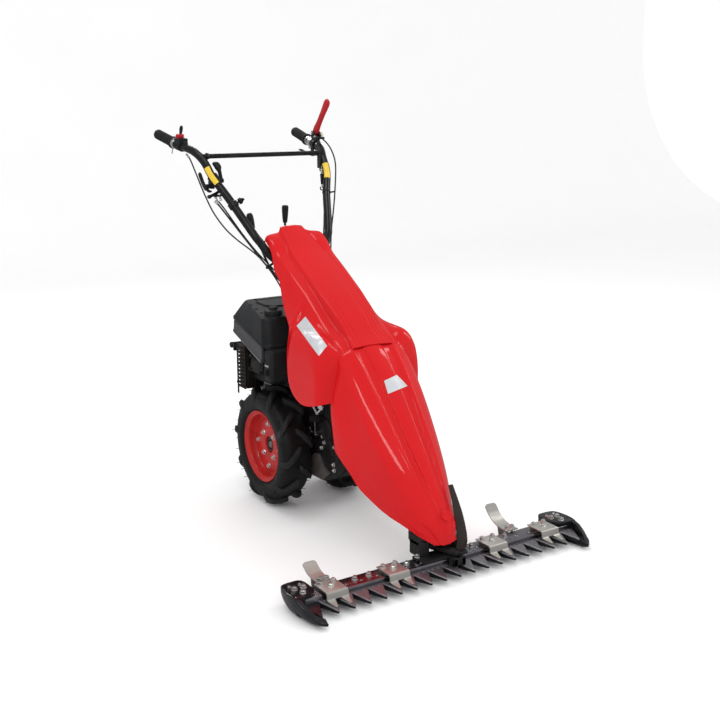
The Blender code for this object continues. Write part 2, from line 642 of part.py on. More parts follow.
def upperHood():
    spineHalf = [(0.456, 0.070), (0.50, 0.058), (0.557, 0.061), (0.631, 0.064), (0.742, 0.064), (0.855, 0.059),
                 (0.950, 0.042)]
    shoulderTop = [(0.456, 0.588), (0.50, 0.620), (0.569, 0.652), (0.618, 0.690), (0.685, 0.739), (0.791, 0.804),
                   (0.867, 0.847), (0.900, 0.884), (0.926, 0.899), (0.940, 0.903)]
    edgeHalf = [(0.456, 0.126), (0.466, 0.170), (0.480, 0.188), (0.655, 0.188), (0.664, 0.186), (0.677, 0.168),
                (0.708, 0.155), (0.764, 0.140), (0.797, 0.130), (0.812, 0.125), (0.863, 0.118), (0.885, 0.113),
                (0.933, 0.111)]
    edgeLow = [(0.456, 0.447), (0.480, 0.437), (0.547, 0.418), (0.600, 0.420), (0.640, 0.446), (0.655, 0.470),
               (0.664, 0.560), (0.677, 0.641), (0.708, 0.651), (0.764, 0.685), (0.797, 0.732), (0.812, 0.768),
               (0.863, 0.790), (0.885, 0.850), (0.933, 0.884)]
    cheekReach = [(0.456, 0.0), (0.466, 0.62), (0.480, 0.95), (0.495, 1.0), (0.645, 1.0), (0.655, 0.93),
                  (0.664, 0.70), (0.677, 0.0)]
    cheekTop = [(0.456, 0.565), (0.466, 0.585), (0.480, 0.608), (0.497, 0.632), (0.512, 0.641), (0.677, 0.646)]
    stations = (0.4554, 0.468, 0.485, 0.520, 0.557, 0.610, 0.650, 0.664, 0.677, 0.708, 0.750, 0.797, 0.830, 0.863,
                0.890, 0.933)
    rows = []
    for y in stations:
        top = valueAt(spineTop, y)
        crest = valueAt(spineHalf, y)
        sh = valueAt(shoulderTop, y)
        reach = valueAt(cheekReach, y)
        low = valueAt(edgeLow, y)
        wide = valueAt(edgeHalf, y)
        tipped = Vector((0.108, y, sh - 0.008))
        edge = Vector((wide, y, low))
        head = valueAt(cheekTop, y)
        cheek = [Vector((0.136, y, head)), Vector((0.166, y, head - 0.012)), Vector((0.183, y, head - 0.042)),
                 Vector((0.188, y, head - 0.092))]
        half = [(0, y, top + spineCrown), (crest, y, top), (crest + 0.010, y, min(top - 0.003, sh + 0.002)),
                (0.092, y, sh + 0.001), tuple(tipped)]
        for k, full in enumerate(cheek):
            plain = tipped.lerp(edge, (k + 1) / 5)
            half.append(tuple(plain.lerp(full, reach)))
        half.append(tuple(edge))
        rows.append(mirrored(half))
    # The rear of the spine reaches further back than the shoulders.
    rear = []
    for x, y, z in rows.pop():
        reach = max(0.0, 1 - max(0.0, abs(x) - 0.042) / 0.030)
        back = 0.022 * reach
        lift = (valueAt(spineTop, y + back) - valueAt(spineTop, y)) if abs(x) < 0.075 else 0.0
        rear.append((x * (1 - 0.08 * reach), y + back, z + lift))
    rows.append(rear)
    piece("upper_hood", "redPaint", [shell(rows, shellWall, 0)])


def hoodStay():
    # The bracket on the gearbox that carries both hoods under their spines.
    upperY = 0.558
    crownDrop = 0.0011
    upperTop = valueAt(spineTop, upperY) + spineCrown - 1.25 * shellWall - crownDrop
    noseY = 0.428
    noseTop = valueAt(noseLine, noseY) - 1.4 * shellWall - crownDrop
    base = strip([(0.5722, 0.470, -0.020, 0.020), (0.5722, 0.560, -0.020, 0.020), (0.560, 0.590, -0.016, 0.016),
                  (0.560, upperTop, -0.014, 0.014)], sheet)
    arm = strip([(0.5625, 0.5900, -0.013, 0.013), (0.505, 0.5780, -0.013, 0.013), (0.428, 0.5640, -0.013, 0.013)],
                sheet)
    post = block(-0.010, 0.010, noseY, noseY + 0.008, 0.560, noseTop)
    piece("hood_stay", "blackPaint", [base, arm, post])


# Column and handlebar
def column():
    way = (tiltPivot - columnFoot).normalized()
    head = rod(tiltPivot - Vector((0.0195, 0, 0)), tiltPivot + Vector((0.0195, 0, 0)), 0.022, 14)
    shaft = rod(columnFoot + 0.012 * way, tiltPivot - 0.010 * way, columnRadius, 12)
    foot = block(-0.040, 0.030, 0.606, 0.652, towerTop + gap, towerTop + 0.012, 0.002)
    socket = rod(columnFoot + 0.004 * way, columnFoot + 0.035 * way, columnRadius + 0.006, 12)
    trim = block(-0.1, 0.1, 0.5, 0.75, towerTop - 0.05, towerTop + gap)
    cross = bore(tiltPivot - Vector((0.1, 0, 0)), tiltPivot + Vector((0.1, 0, 0)), 0.008 + runGap, 12)
    rodWay = (rodGuide - rodFoot).normalized()
    post = block(0.004, 0.0170, 0.893, 0.905, pivotZ + 0.012, 0.852)
    eye = rod(rodGuide - 0.007 * rodWay, rodGuide + 0.007 * rodWay, 0.0090, 12)
    hole = bore(rodGuide - 0.05 * rodWay, rodGuide + 0.05 * rodWay, 0.004 + runGap, 8)
    piece("column", "blackPaint", [shaft, socket, foot, head, post, eye], [trim, cross, hole])


handleRoute = [(0.030, 0.900, 0.800), (0.062, 0.902, 0.806), (0.096, 0.912, 0.829), (0.116, 0.924, 0.856),
               (0.128, 0.936, 0.878), (0.143, 0.949, 0.903), (0.187, 1.033, 1.013), (0.221, 1.087, 1.086),
               (0.231, 1.129, 1.135), (0.247, 1.178, 1.169), (0.262, 1.270, 1.188)]


def sided(point, side):
    return Vector((side * point[0], point[1], point[2]))


def handleLine(side):
    # The middle line of one handlebar tube, from the tilt hub to the end inside the grip.
    line = curveThrough([sided(p, side) for p in handleRoute], 0.036)
    return line + [sided(gripEnd - 0.006 * gripWay, side)]


def handlebar():
    shapes = []
    for side in (1, -1):
        route = handleLine(side)
        shapes.append(tube(route, tubeRadius, 8))
        ears = sorted((side * 0.0200, side * 0.042))
        shapes.append(rod((ears[0], pivotY, pivotZ), (ears[1], pivotY, pivotZ), 0.021, 14))
    shapes.append(rod((-0.030, pivotY, pivotZ), (0.030, pivotY, pivotZ), 0.008, 12))
    bar = [(-0.2285, crossbarY, crossbarZ), (0.2285, crossbarY, crossbarZ)]
    shapes.append(rod(bar[0], bar[1], crossbarRadius, 8))
    piece("handlebar", "blackPaint", shapes, pivot=tiltPivot)


def grip(name, side):
    start = sided(gripStart, side)
    end = sided(gripEnd, side)
    way = (end - start).normalized()
    reach = (end - start).length
    steps = [(0.0, 0.021), (0.006, 0.021), (0.007, gripRadius), (reach * 0.5, gripRadius - 0.0008),
             (reach - 0.004, gripRadius), (reach, gripEndRadius)]
    sleeve = bore(start - 0.01 * way, end - (0.006 - gap) * way, tubeRadius + gap, 12)
    piece("grip_" + name, "rubber", [stepped(start, way, steps, 14)], [sleeve], carrier="handlebar")


def tubeClamp(side, y, width, ring):
    # A clamp ring round the straight stretch of the handlebar tube nearest to this place.
    line = handleLine(side)
    spans = list(zip(line, line[1:]))
    start, end = min(spans, key=lambda span: abs((span[0].y + span[1].y) / 2 - y))
    way = (end - start).normalized()
    at = (start + end) / 2
    band = [(-width / 2, ring), (width / 2, ring), (width / 2, tubeRadius), (-width / 2, tubeRadius)]
    through = bore(at - 0.05 * way, at + 0.05 * way, tubeRadius + gap, 12)
    return turned(band, at, way, 12), at, through


def crossPin(at, half, radius=0.003, sides=8):
    return rod(at - Vector((half, 0, 0)), at + Vector((half, 0, 0)), radius, sides)


def crossHole(at):
    return bore(at - Vector((0.02, 0, 0)), at + Vector((0.02, 0, 0)), 0.003 + runGap, 8)


def leftControls():
    ring, at, through = tubeClamp(1, 1.223, 0.018, tubeRadius + 0.0045)
    redPivot = at + Vector((0.0, 0.004, 0.040))
    lowPivot = at + Vector((0.0, 0.008, -0.033))
    ears = [ring]
    for x in (at.x - 0.010, at.x + 0.010):
        ears.append(block(x - 0.0015, x + 0.0015, at.y - 0.010, at.y + 0.012, at.z + 0.008, redPivot.z + 0.007))
        ears.append(block(x - 0.0015, x + 0.0015, at.y - 0.002, at.y + 0.016, lowPivot.z - 0.007, at.z - 0.010))
    ears += [crossPin(redPivot, 0.0125), crossPin(lowPivot, 0.0125)]
    piece("left_lever_bracket", "blackPaint", ears, [through], carrier="handlebar")

    run = Vector((0, -0.097, 0.120)).normalized()
    flat = Vector((0, 0.120, 0.097)).normalized()
    rings = []
    for reach, half, thick in ((-0.010, 0.007, 0.0075), (0.010, 0.010, 0.0075), (0.040, 0.0085, 0.006),
                               (0.090, 0.009, 0.006), (0.135, 0.0115, 0.0065), (0.150, 0.009, 0.006),
                               (0.156, 0.003, 0.004)):
        c = redPivot + reach * run
        side = Vector((thick, 0, 0))
        rings.append([c - half * flat - side, c + half * flat - side, c + half * flat + side, c - half * flat + side])
    piece("red_lever", "redPlastic", [loft(rings)], [crossHole(redPivot)], pivot=redPivot, carrier="handlebar")

    y, z = lowPivot.y, lowPivot.z
    x0, x1 = lowPivot.x - 0.0055, lowPivot.x + 0.0055
    paddle = strip([(y - 0.004, z - 0.001, x0, x1), (y + 0.012, z - 0.006, x0, x1), (y + 0.050, z + 0.000, x0, x1),
                    (y + 0.105, z + 0.011, x0 - 0.001, x1 + 0.001), (y + 0.113, z + 0.009, x0, x1)], 0.005)
    piece("left_squeeze_lever", "blackPaint", [crossPin(lowPivot, 0.0055, 0.0065, 10), paddle],
          [crossHole(lowPivot)], pivot=lowPivot, carrier="handlebar")


def rightControls():
    ring, at, through = tubeClamp(-1, 1.248, 0.026, tubeRadius + 0.004)
    housing = block(at.x - 0.016, at.x + 0.018, at.y - 0.018, at.y + 0.020, at.z + 0.004, at.z + 0.025, 0.003)
    piece("switch_housing", "plastic", [ring, housing], [through], carrier="handlebar")

    knobAt = at + Vector((0.001, 0.006, 0.025 + gap))
    knob = [stepped(knobAt, (0, 0, 1), [(0.0, 0.0135), (0.010, 0.0150), (0.014, 0.0120)], 12)]
    knob.append(rod(knobAt + Vector((0, 0, 0.010)), knobAt + Vector((0.006, -0.004, 0.042)), 0.0058, 8, 0.0048))
    piece("throttle_knob", "redPlastic", knob, pivot=knobAt, carrier="handlebar")

    ring, at, through = tubeClamp(-1, 1.085, 0.022, tubeRadius + 0.004)
    perchPivot = at + Vector((-0.020, 0.012, -0.024))
    paddleAt = at + Vector((0.029, 0.004, -0.006))
    perch = [ring, block(at.x - 0.012, at.x, at.y - 0.004, at.y + 0.022, at.z - 0.032, at.z - 0.006)]
    perch.append(rod(perchPivot - Vector((0.0075, 0, 0)), Vector((at.x - 0.005, perchPivot.y, perchPivot.z)), 0.003, 8))
    perch.append(rod(Vector((at.x + 0.005, paddleAt.y, paddleAt.z)), paddleAt + Vector((0.008, 0, 0)), 0.003, 8))
    piece("right_lever_perch", "blackPaint", perch, [through], carrier="handlebar")

    y, z = perchPivot.y, perchPivot.z - 0.002
    x0, x1 = perchPivot.x - 0.005, perchPivot.x + 0.005
    reach = [(0, 0), (0.010, -0.010), (0.034, 0.012), (0.052, 0.034), (0.058, 0.044)]
    tail = [(0.004, -0.006), (-0.016, -0.014), (-0.028, -0.012)]
    shapes = [crossPin(perchPivot, 0.005, 0.0075, 10), strip([(y + a, z + b, x0, x1) for a, b in reach], 0.006),
              strip([(y + a, z + b, x0 + 0.001, x1 - 0.001) for a, b in tail], 0.006)]
    piece("clutch_lever", "blackPaint", shapes, [crossHole(perchPivot)], pivot=perchPivot, carrier="handlebar")

    y, z = paddleAt.y, paddleAt.z
    x0, x1 = paddleAt.x - 0.005, paddleAt.x + 0.005
    head = strip([(y, z, x0, x1), (y + 0.010, z + 0.030, x0, x1), (y + 0.020, z + 0.042, x0 - 0.004, x1 + 0.004),
                  (y + 0.040, z + 0.054, x0 - 0.006, x1 + 0.006), (y + 0.046, z + 0.054, x0 - 0.003, x1 + 0.003)], 0.007)
    piece("speed_paddle", "plastic", [crossPin(paddleAt, 0.0055, 0.008, 10), head], [crossHole(paddleAt)],
          pivot=paddleAt, carrier="handlebar")


def gearLevers():
    rodWay = (rodGuide - rodFoot).normalized()
    route = [rodFoot + 0.01 * k * rodWay for k in (0, 15, 31)]
    bend = [Vector((0.0205, 0.942, 0.8850)), Vector((0.0225, 0.985, 0.8970)), Vector((0.0245, 1.030, 0.9060)),
            Vector((0.0250, 1.043, 0.9180)), Vector((0.0250, 1.0425, 0.9340))]
    knob = [(-0.004, 0.0070), (0.002, 0.0085), (0.020, 0.0105), (0.048, 0.0115), (0.054, 0.0095)]
    shapes = [tube(route + bend, 0.004, 8), stepped((0.0250, 1.0425, 0.9300), (0, -0.05, 1), knob, 14)]
    piece("gear_rod", "blackPaint", shapes, pivot=rodGuide)

    hub = rod(leverPivot - Vector((0.005, 0, 0)), leverPivot + Vector((0.005, 0, 0)), 0.008, 12)
    path = [(-0.0580, 0.668, leverPivot.z + 0.003), (-0.0620, 0.720, 0.640), (-0.0680, 0.800, 0.705),
            (-0.0850, 0.930, 0.775), (-0.0980, 0.995, 0.858), (-0.1060, 1.032, 0.920)]
    knob = [(-0.006, 0.0070), (0.004, 0.0090), (0.030, 0.0115), (0.042, 0.0105), (0.047, 0.0070)]
    shapes = [hub, tube(curveThrough(path, 0.03), 0.004, 8), stepped(path[-1], (-0.10, 0.32, 0.94), knob, 14)]
    hole = bore(leverPivot - Vector((0.02, 0, 0)), leverPivot + Vector((0.02, 0, 0)), 0.003 + runGap, 8)
    piece("speed_lever", "blackPaint", shapes, [hole], pivot=leverPivot)


# Engine
def cowlFloor(y):
    return cowlFloorFront + cowlFloorSlope * (y - cowlFront)


def engineMount():
    piece("engine_mount", "blackPaint", [block(-0.066, 0.066, 0.800, 0.985, 0.3603, 0.384, 0.003)])


def crankcase():
    top = [(y, cowlFloor(y) - gap) for y in (0.805, 0.970)]
    body = prism([(0.800, 0.412), (0.975, 0.412), (0.985, 0.430), (0.985, 0.560), top[1], top[0], (0.800, 0.555)],
                 0, -0.074, 0.105)
    foot = block(-0.066, 0.066, 0.812, 0.962, 0.3843, 0.418)
    flange = rod((0, 0.7998, crankZ), (0, 0.812, crankZ), 0.060, 16)
    piece("crankcase", "alloy", [body, foot, flange])


def cylinder():
    origin = Vector((-0.060, 0.905, 0.478))
    turn = Matrix.Translation(origin) @ Matrix.Rotation(math.radians(12), 4, "Y")
    shapes = [block(-0.098, 0.0, -0.045, 0.045, -0.040, 0.040)]
    for k in range(7):
        x = -0.030 - k * 0.0095
        shapes.append(block(x - 0.0014, x + 0.0014, -0.064, 0.064, -0.052, 0.052))
    for shape in shapes:
        shape.data.transform(turn)
    cut = block(-0.0743, 0.2, 0.5, 1.2, 0.2, 0.8)
    piece("cylinder", "alloy", shapes, [cut])
    cover = block(-0.124, -0.0985, -0.043, 0.043, -0.038, 0.038, 0.006)
    cover.data.transform(turn)
    piece("head_cover", "alloy", [cover])


def exhaust():
    body = [block(-0.188, -0.104, 1.000, 1.050, 0.428, 0.545, 0.012)]
    body.append(rod((-0.130, 1.040, 0.450), (-0.130, 1.066, 0.446), 0.010, 10))
    body.append(rod((-0.125, 0.9693, 0.480), (-0.125, 1.005, 0.480), 0.011, 10))
    for y, z in ((1.012, 0.440), (1.012, 0.533), (1.038, 0.440), (1.038, 0.533)):
        body.append(rod((-0.180, y, z), (-0.1935, y, z), 0.004, 8))
    piece("muffler", "hotSteel", body)
    guard = block(-0.1970, -0.1938, 0.986, 1.064, 0.424, 0.550)
    slots = [block(-0.21, -0.18, 0.996, 1.054, z, z + 0.007) for z in (0.448, 0.464, 0.480, 0.496, 0.512)]
    piece("muffler_guard", "hotSteel", [guard], slots)


# Plan outline of the tank cover where it is widest, and of its top
cowlWide = [(-0.206, 0.792), (-0.186, cowlFront), (0.165, cowlFront), (0.185, 0.792), (0.152, 1.135),
            (0.130, cowlRear), (-0.120, cowlRear), (-0.144, 1.135)]
cowlCrown = [(-0.192, 0.812), (-0.172, 0.796), (0.148, 0.796), (0.164, 0.812), (0.122, 1.112),
             (0.106, 1.124), (-0.088, 1.124), (-0.106, 1.112)]
capAt = Vector((-0.1420, 0.8300, cowlTop))


def tankCover():
    def level(outline, z=None, lift=0.0, share=0.0, toward=None):
        ring = []
        for i, (x, y) in enumerate(outline):
            if toward:
                x += (toward[i][0] - x) * share
                y += (toward[i][1] - y) * share
            ring.append((x, y, z if z else cowlFloor(y) + lift))
        return ring

    rings = [level(cowlWide), level(cowlWide, lift=0.010), level(cowlWide, lift=0.014, share=0.12, toward=cowlCrown),
             level(cowlCrown, z=cowlTop - 0.006), level(cowlCrown, z=cowlTop, share=0.04, toward=[(-0.02, 0.96)] * 8)]
    panel = prism([(-0.090, 0.985), (-0.066, 0.958), (0.090, 0.958), (0.090, 1.080), (-0.072, 1.080),
                   (-0.084, 1.066)], 2, cowlTop - 0.004, cowlTop + 0.006)
    seat = stepped(capAt - Vector((0, 0, 0.02)), (0, 0, 1), [(0.0, 0.036), (0.020, 0.036), (0.0240, 0.033)], 20)
    well = rod(capAt - Vector((0, 0, 0.012)), capAt + Vector((0, 0, 0.02)), 0.0200, 16)
    piece("tank_cover", "plastic", [loft(rings), panel, seat], [well])
    cap = [stepped(capAt, (0, 0, 1), [(-0.009, 0.0195), (0.0043, 0.0196), (0.0044, 0.0300), (0.018, 0.0300),
                                      (0.0225, 0.0280), (0.0305, 0.0130)], 16)]
    piece("fuel_cap", "plastic", cap, pivot=capAt)


def sideShield():
    # The lighter skirt under the tank cover on the muffler side.
    rings = []
    front = Vector((-0.203, 0.800))
    rear = Vector((-0.147, 1.110))
    for share in (0.0, 0.5, 1.0):
        at = front.lerp(rear, share)
        high = cowlFloor(at.y) - gap
        low = high - 0.050
        rings.append([(at.x, at.y, high), (at.x + 0.008, at.y, high), (at.x + 0.008, at.y, low + 0.004),
                      (at.x - 0.002, at.y, low), (at.x - 0.005, at.y, low + 0.004)])
    piece("side_shield", "greyPlastic", [loft(rings)])


def intake():
    box = block(-0.200, -0.078, 0.742, 0.797, 0.448, cowlFloor(0.742) - 0.0015, 0.008)
    piece("air_cleaner", "plastic", [box])
    shapes = [block(-0.165, -0.118, 0.7973, 0.8405, 0.470, 0.520, 0.004),
              rod((-0.142, 0.815, 0.455), (-0.142, 0.815, 0.475), 0.014, 12)]
    piece("carburettor", "alloy", shapes)


def starter():
    steps = [(0.0, 0.086), (0.034, 0.086), (0.046, 0.080)]
    piece("blower_housing", "blackPaint", [stepped((0, 0.9853, crankZ), (0, 1, 0), steps, 20)])
    steps = [(0.0, 0.078), (0.004, recoilRadius), (0.028, recoilRadius), (0.044, 0.066), (0.050, 0.040)]
    shapes = [stepped((0, 1.0317, crankZ), (0, 1, 0), steps, 20)]
    shapes.append(block(-0.170, -0.060, 1.0700, 1.0820, 0.500, 0.530, 0.003))
    slots = []
    for k in range(6):
        a = 2 * math.pi * (k + 0.5) / 6
        slot = block(-0.007, 0.007, 1.066, 1.10, 0.044, 0.058)
        slot.data.transform(Matrix.Translation(Vector((0, 0, crankZ))) @ Matrix.Rotation(a, 4, "Y"))
        slots.append(slot)
    piece("recoil_cover", "blackPaint", shapes, slots)
    grip = Vector((-0.1550, 1.0823, 0.515))
    steps = [(-0.034, 0.008), (-0.030, 0.0105), (-0.010, 0.0095), (0.010, 0.0095), (0.030, 0.0105), (0.034, 0.008)]
    shapes = [stepped(grip + Vector((0, 0.022, 0)), (0, 0, 1), steps, 10), rod(grip, grip + Vector((0, 0.02, 0)), 0.006, 10)]
    piece("recoil_grip", "rubber", shapes, pivot=grip)


def smallEngineParts():
    at = Vector((-0.0743, 0.820, 0.440))
    cap = stepped(at, (-1, 0, 0), [(0.0003, 0.0085), (0.003, 0.0086), (0.0031, 0.012), (0.015, 0.0115), (0.018, 0.008)], 12)
    piece("oil_dipstick", "plastic", [cap], pivot=at)


# Control cables, each a hand-picked route
def cable(name, route, radius):
    points = curveThrough(route, 0.026)
    curve = bpy.data.curves.new(name, "CURVE")
    curve.dimensions = "3D"
    curve.bevel_depth = radius
    curve.bevel_resolution = 2
    curve.use_fill_caps = True
    spline = curve.splines.new("POLY")
    spline.points.add(len(points) - 1)
    for slot, point in zip(spline.points, points):
        slot.co = (*point, 1)
    cord = bpy.data.objects.new(name, curve)
    cord.location = (0, -yMiddle, 0)
    scene.collection.objects.link(cord)
    colour, roughness, metallic = looks["rubber"]
    finish = bpy.data.materials.new(name + "_finish")
    finish.use_nodes = True
    shader = finish.node_tree.nodes["Principled BSDF"]
    shader.inputs["Base Color"].default_value = (*colour, 1)
    shader.inputs["Roughness"].default_value = roughness
    shader.inputs["Metallic"].default_value = metallic
    curve.materials.append(finish)


def cables():
    seat = towerTop + 2 * gap
    cable("throttle_cable", [(-0.2510, 1.224, 1.1560), (-0.2450, 1.209, 1.1390), (-0.2400, 1.170, 1.0860),
                             (-0.2400, 1.115, 1.0290), (-0.2230, 1.085, 0.9690), (-0.2030, 1.041, 0.9190),
                             (-0.1820, 0.997, 0.8850), (-0.1620, 0.940, 0.8560), (-0.1420, 0.898, 0.8250),
                             (-0.1160, 0.866, 0.7750), (-0.1030, 0.820, 0.7200), (-0.1020, 0.768, 0.6800),
                             (-0.1080, 0.756, 0.6200), (-0.1100, 0.7545, 0.5750),
                             (-0.1100, 0.7545, cowlFloor(0.742) - 0.0009)], 0.0025)
    cable("clutch_cable", [(-0.2240, 1.066, 1.0080), (-0.2140, 1.045, 0.9880), (-0.1820, 0.990, 0.9200),
                           (-0.1500, 0.940, 0.8550), (-0.1250, 0.905, 0.8080), (-0.0990, 0.860, 0.7650),
                           (-0.0880, 0.780, 0.7020), (-0.0820, 0.700, 0.6550), (-0.0610, 0.640, 0.6320),
                           (-0.0450, 0.6200, 0.6080), (-0.0440, 0.6190, 0.5950), (-0.0440, 0.6190, seat)], 0.0030)
    cable("lock_cable", [(0.2450, 1.196, 1.1990), (0.2530, 1.168, 1.2050), (0.2620, 1.130, 1.1700),
                         (0.2600, 1.092, 1.1180), (0.2330, 1.050, 1.0400), (0.2080, 1.020, 0.9700),
                         (0.1700, 0.975, 0.8900), (0.1250, 0.905, 0.8150), (0.0950, 0.850, 0.7450),
                         (0.0800, 0.760, 0.6700), (0.0620, 0.670, 0.6350), (0.0440, 0.6250, 0.6120),
                         (0.0420, 0.6230, 0.5950), (0.0420, 0.6230, seat)], 0.0025)
    cable("brake_cable", [(0.2050, 1.096, 1.0950), (0.2020, 1.085, 1.0500), (0.1950, 1.060, 1.0050),
                          (0.1640, 1.012, 0.9500), (0.1340, 0.966, 0.8950), (0.0900, 0.910, 0.7750),
                          (0.0620, 0.840, 0.7100), (0.0560, 0.740, 0.6500), (0.0440, 0.6640, 0.6120),
                          (0.0420, 0.6600, 0.5950), (0.0420, 0.6600, seat)], 0.0025)


def buildAll():
    fingerBar()
    knife()
    for number, place in enumerate(holdDownPlace, 1):
        holdDown(number, place)
    endShoe("left_shoe", 1)
    endShoe("right_shoe", -1)
    skid("right_skid", -0.375, [(0.072, 0.0177), (0.100, 0.0177), (0.126, 0.0080), (0.146, 0.0025), (0.162, 0.0065),
                                (0.174, 0.030), (0.184, 0.050), (0.198, 0.066), (0.215, 0.076)])
    skid("left_skid", 0.290, [(0.072, 0.0177), (0.100, 0.0177), (0.124, 0.0080), (0.140, 0.0025), (0.153, 0.0090),
                              (0.162, 0.035), (0.171, 0.058), (0.188, 0.080), (0.210, 0.095), (0.232, 0.102)])
    cutterDrive()
    swingArm()
    guardPlate()
    driveTube()
    gearbox()
    clutchBell()
    axle()
    wheel("left", 1)
    wheel("right", -1)
    noseHood()
    nosePlug()
    upperHood()
    hoodStay()
    column()
    handlebar()
    grip("left", 1)
    grip("right", -1)
    leftControls()
    rightControls()
    gearLevers()
    engineMount()
    crankcase()
    cylinder()
    exhaust()
    tankCover()
    sideShield()
    intake()
    starter()
    smallEngineParts()
    cables()


buildAll()
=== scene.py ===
import json
import math

import bmesh
import bpy
from mathutils import Matrix, Vector
from mathutils.bvhtree import BVHTree


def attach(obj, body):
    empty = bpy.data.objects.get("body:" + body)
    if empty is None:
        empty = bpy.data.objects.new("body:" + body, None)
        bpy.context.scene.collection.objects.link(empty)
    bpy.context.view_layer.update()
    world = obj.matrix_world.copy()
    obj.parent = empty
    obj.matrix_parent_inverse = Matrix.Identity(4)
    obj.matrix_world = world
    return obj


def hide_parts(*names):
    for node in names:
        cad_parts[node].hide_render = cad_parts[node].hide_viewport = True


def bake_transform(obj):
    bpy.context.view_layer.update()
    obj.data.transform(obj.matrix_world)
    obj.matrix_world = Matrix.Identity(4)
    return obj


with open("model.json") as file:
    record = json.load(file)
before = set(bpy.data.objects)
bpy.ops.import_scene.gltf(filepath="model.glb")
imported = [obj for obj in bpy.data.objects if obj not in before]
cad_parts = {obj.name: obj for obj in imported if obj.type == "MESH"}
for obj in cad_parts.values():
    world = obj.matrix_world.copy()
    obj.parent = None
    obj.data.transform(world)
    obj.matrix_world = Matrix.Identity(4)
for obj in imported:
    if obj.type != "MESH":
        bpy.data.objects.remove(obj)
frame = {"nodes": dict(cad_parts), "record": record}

# Places are written from the tooth tips: X to the machine's left, Y to the rear, Z up. Metres.
middleY = 0.68905  # distance from the tooth tips to the frame's own origin
fullTurn = 2 * math.pi
scene = bpy.context.scene
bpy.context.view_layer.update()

# Camera at the photograph's angle. The focus is in pixels of the photograph, which is 720 across.
camera = {"place": (-1.736, -2.173, 1.329), "yaw": 32.73, "pitch": 13.71, "roll": -0.14, "lens": 52.9,
    "sensor": 36, "focus": 1057.9, "centre": 360, "clip": 60}


def setCamera():
    yaw, pitch, roll = (math.radians(camera[k]) for k in ("yaw", "pitch", "roll"))
    ahead = Vector((math.sin(yaw) * math.cos(pitch), math.cos(yaw) * math.cos(pitch), -math.sin(pitch)))
    level = Vector((math.cos(yaw), -math.sin(yaw), 0))
    upright = level.cross(ahead)
    right = math.cos(roll) * level + math.sin(roll) * upright
    up = math.cos(roll) * upright - math.sin(roll) * level
    data = bpy.data.cameras.new("photoCamera")
    data.lens = camera["lens"]
    data.sensor_width = camera["sensor"]
    data.clip_end = camera["clip"]
    body = bpy.data.objects.new("photoCamera", data)
    scene.collection.objects.link(body)
    place = Vector(camera["place"]) - Vector((0, middleY, 0))
    body.matrix_world = Matrix.Translation(place) @ Matrix((right, up, -ahead)).transposed().to_4x4()
    scene.camera = body


def addNode(tree, kind, values=(), **settings):
    # A new node. A value is a number or colour for its socket, or the socket or node that feeds it.
    node = tree.nodes.new(kind)
    for label, setting in settings.items():
        setattr(node, label, setting)
    for label, value in dict(values).items():
        socket = node.inputs[label]
        if isinstance(value, bpy.types.Node):
            value = value.outputs[0]
        if isinstance(value, bpy.types.NodeSocket):
            tree.links.new(value, socket)
        else:
            socket.default_value = (*value, 1) if socket.type == "RGBA" else value
    return node


# Light and floor
studio = {
    "sky": 1.0, "mirroredSky": 0.4, "mirroredFloor": (0.3, 0.3, 0.31),
    "floorHalf": 9.0, "floorBack": 5.0, "curve": 2.1, "rise": 6.0,
}
# Name, place, size, power and aim of each lamp
lamps = [
    ("keyLamp", (-2.2, -2.6, 3.4), (0.5, 1.8), 22, (0.0, -0.1, 0.6)),
    ("sideLamp", (3.0, -0.6, 2.6), (0.4, 2.2), 20, (0.0, 0.0, 0.6)),
    ("rearLamp", (0.9, 2.9, 3.0), (2.4, 0.35), 24, (0.0, 0.1, 0.8)),
    ("topLamp", (-0.6, 0.2, 4.0), (0.9, 1.6), 16, (0.0, 0.0, 0.3)),
]


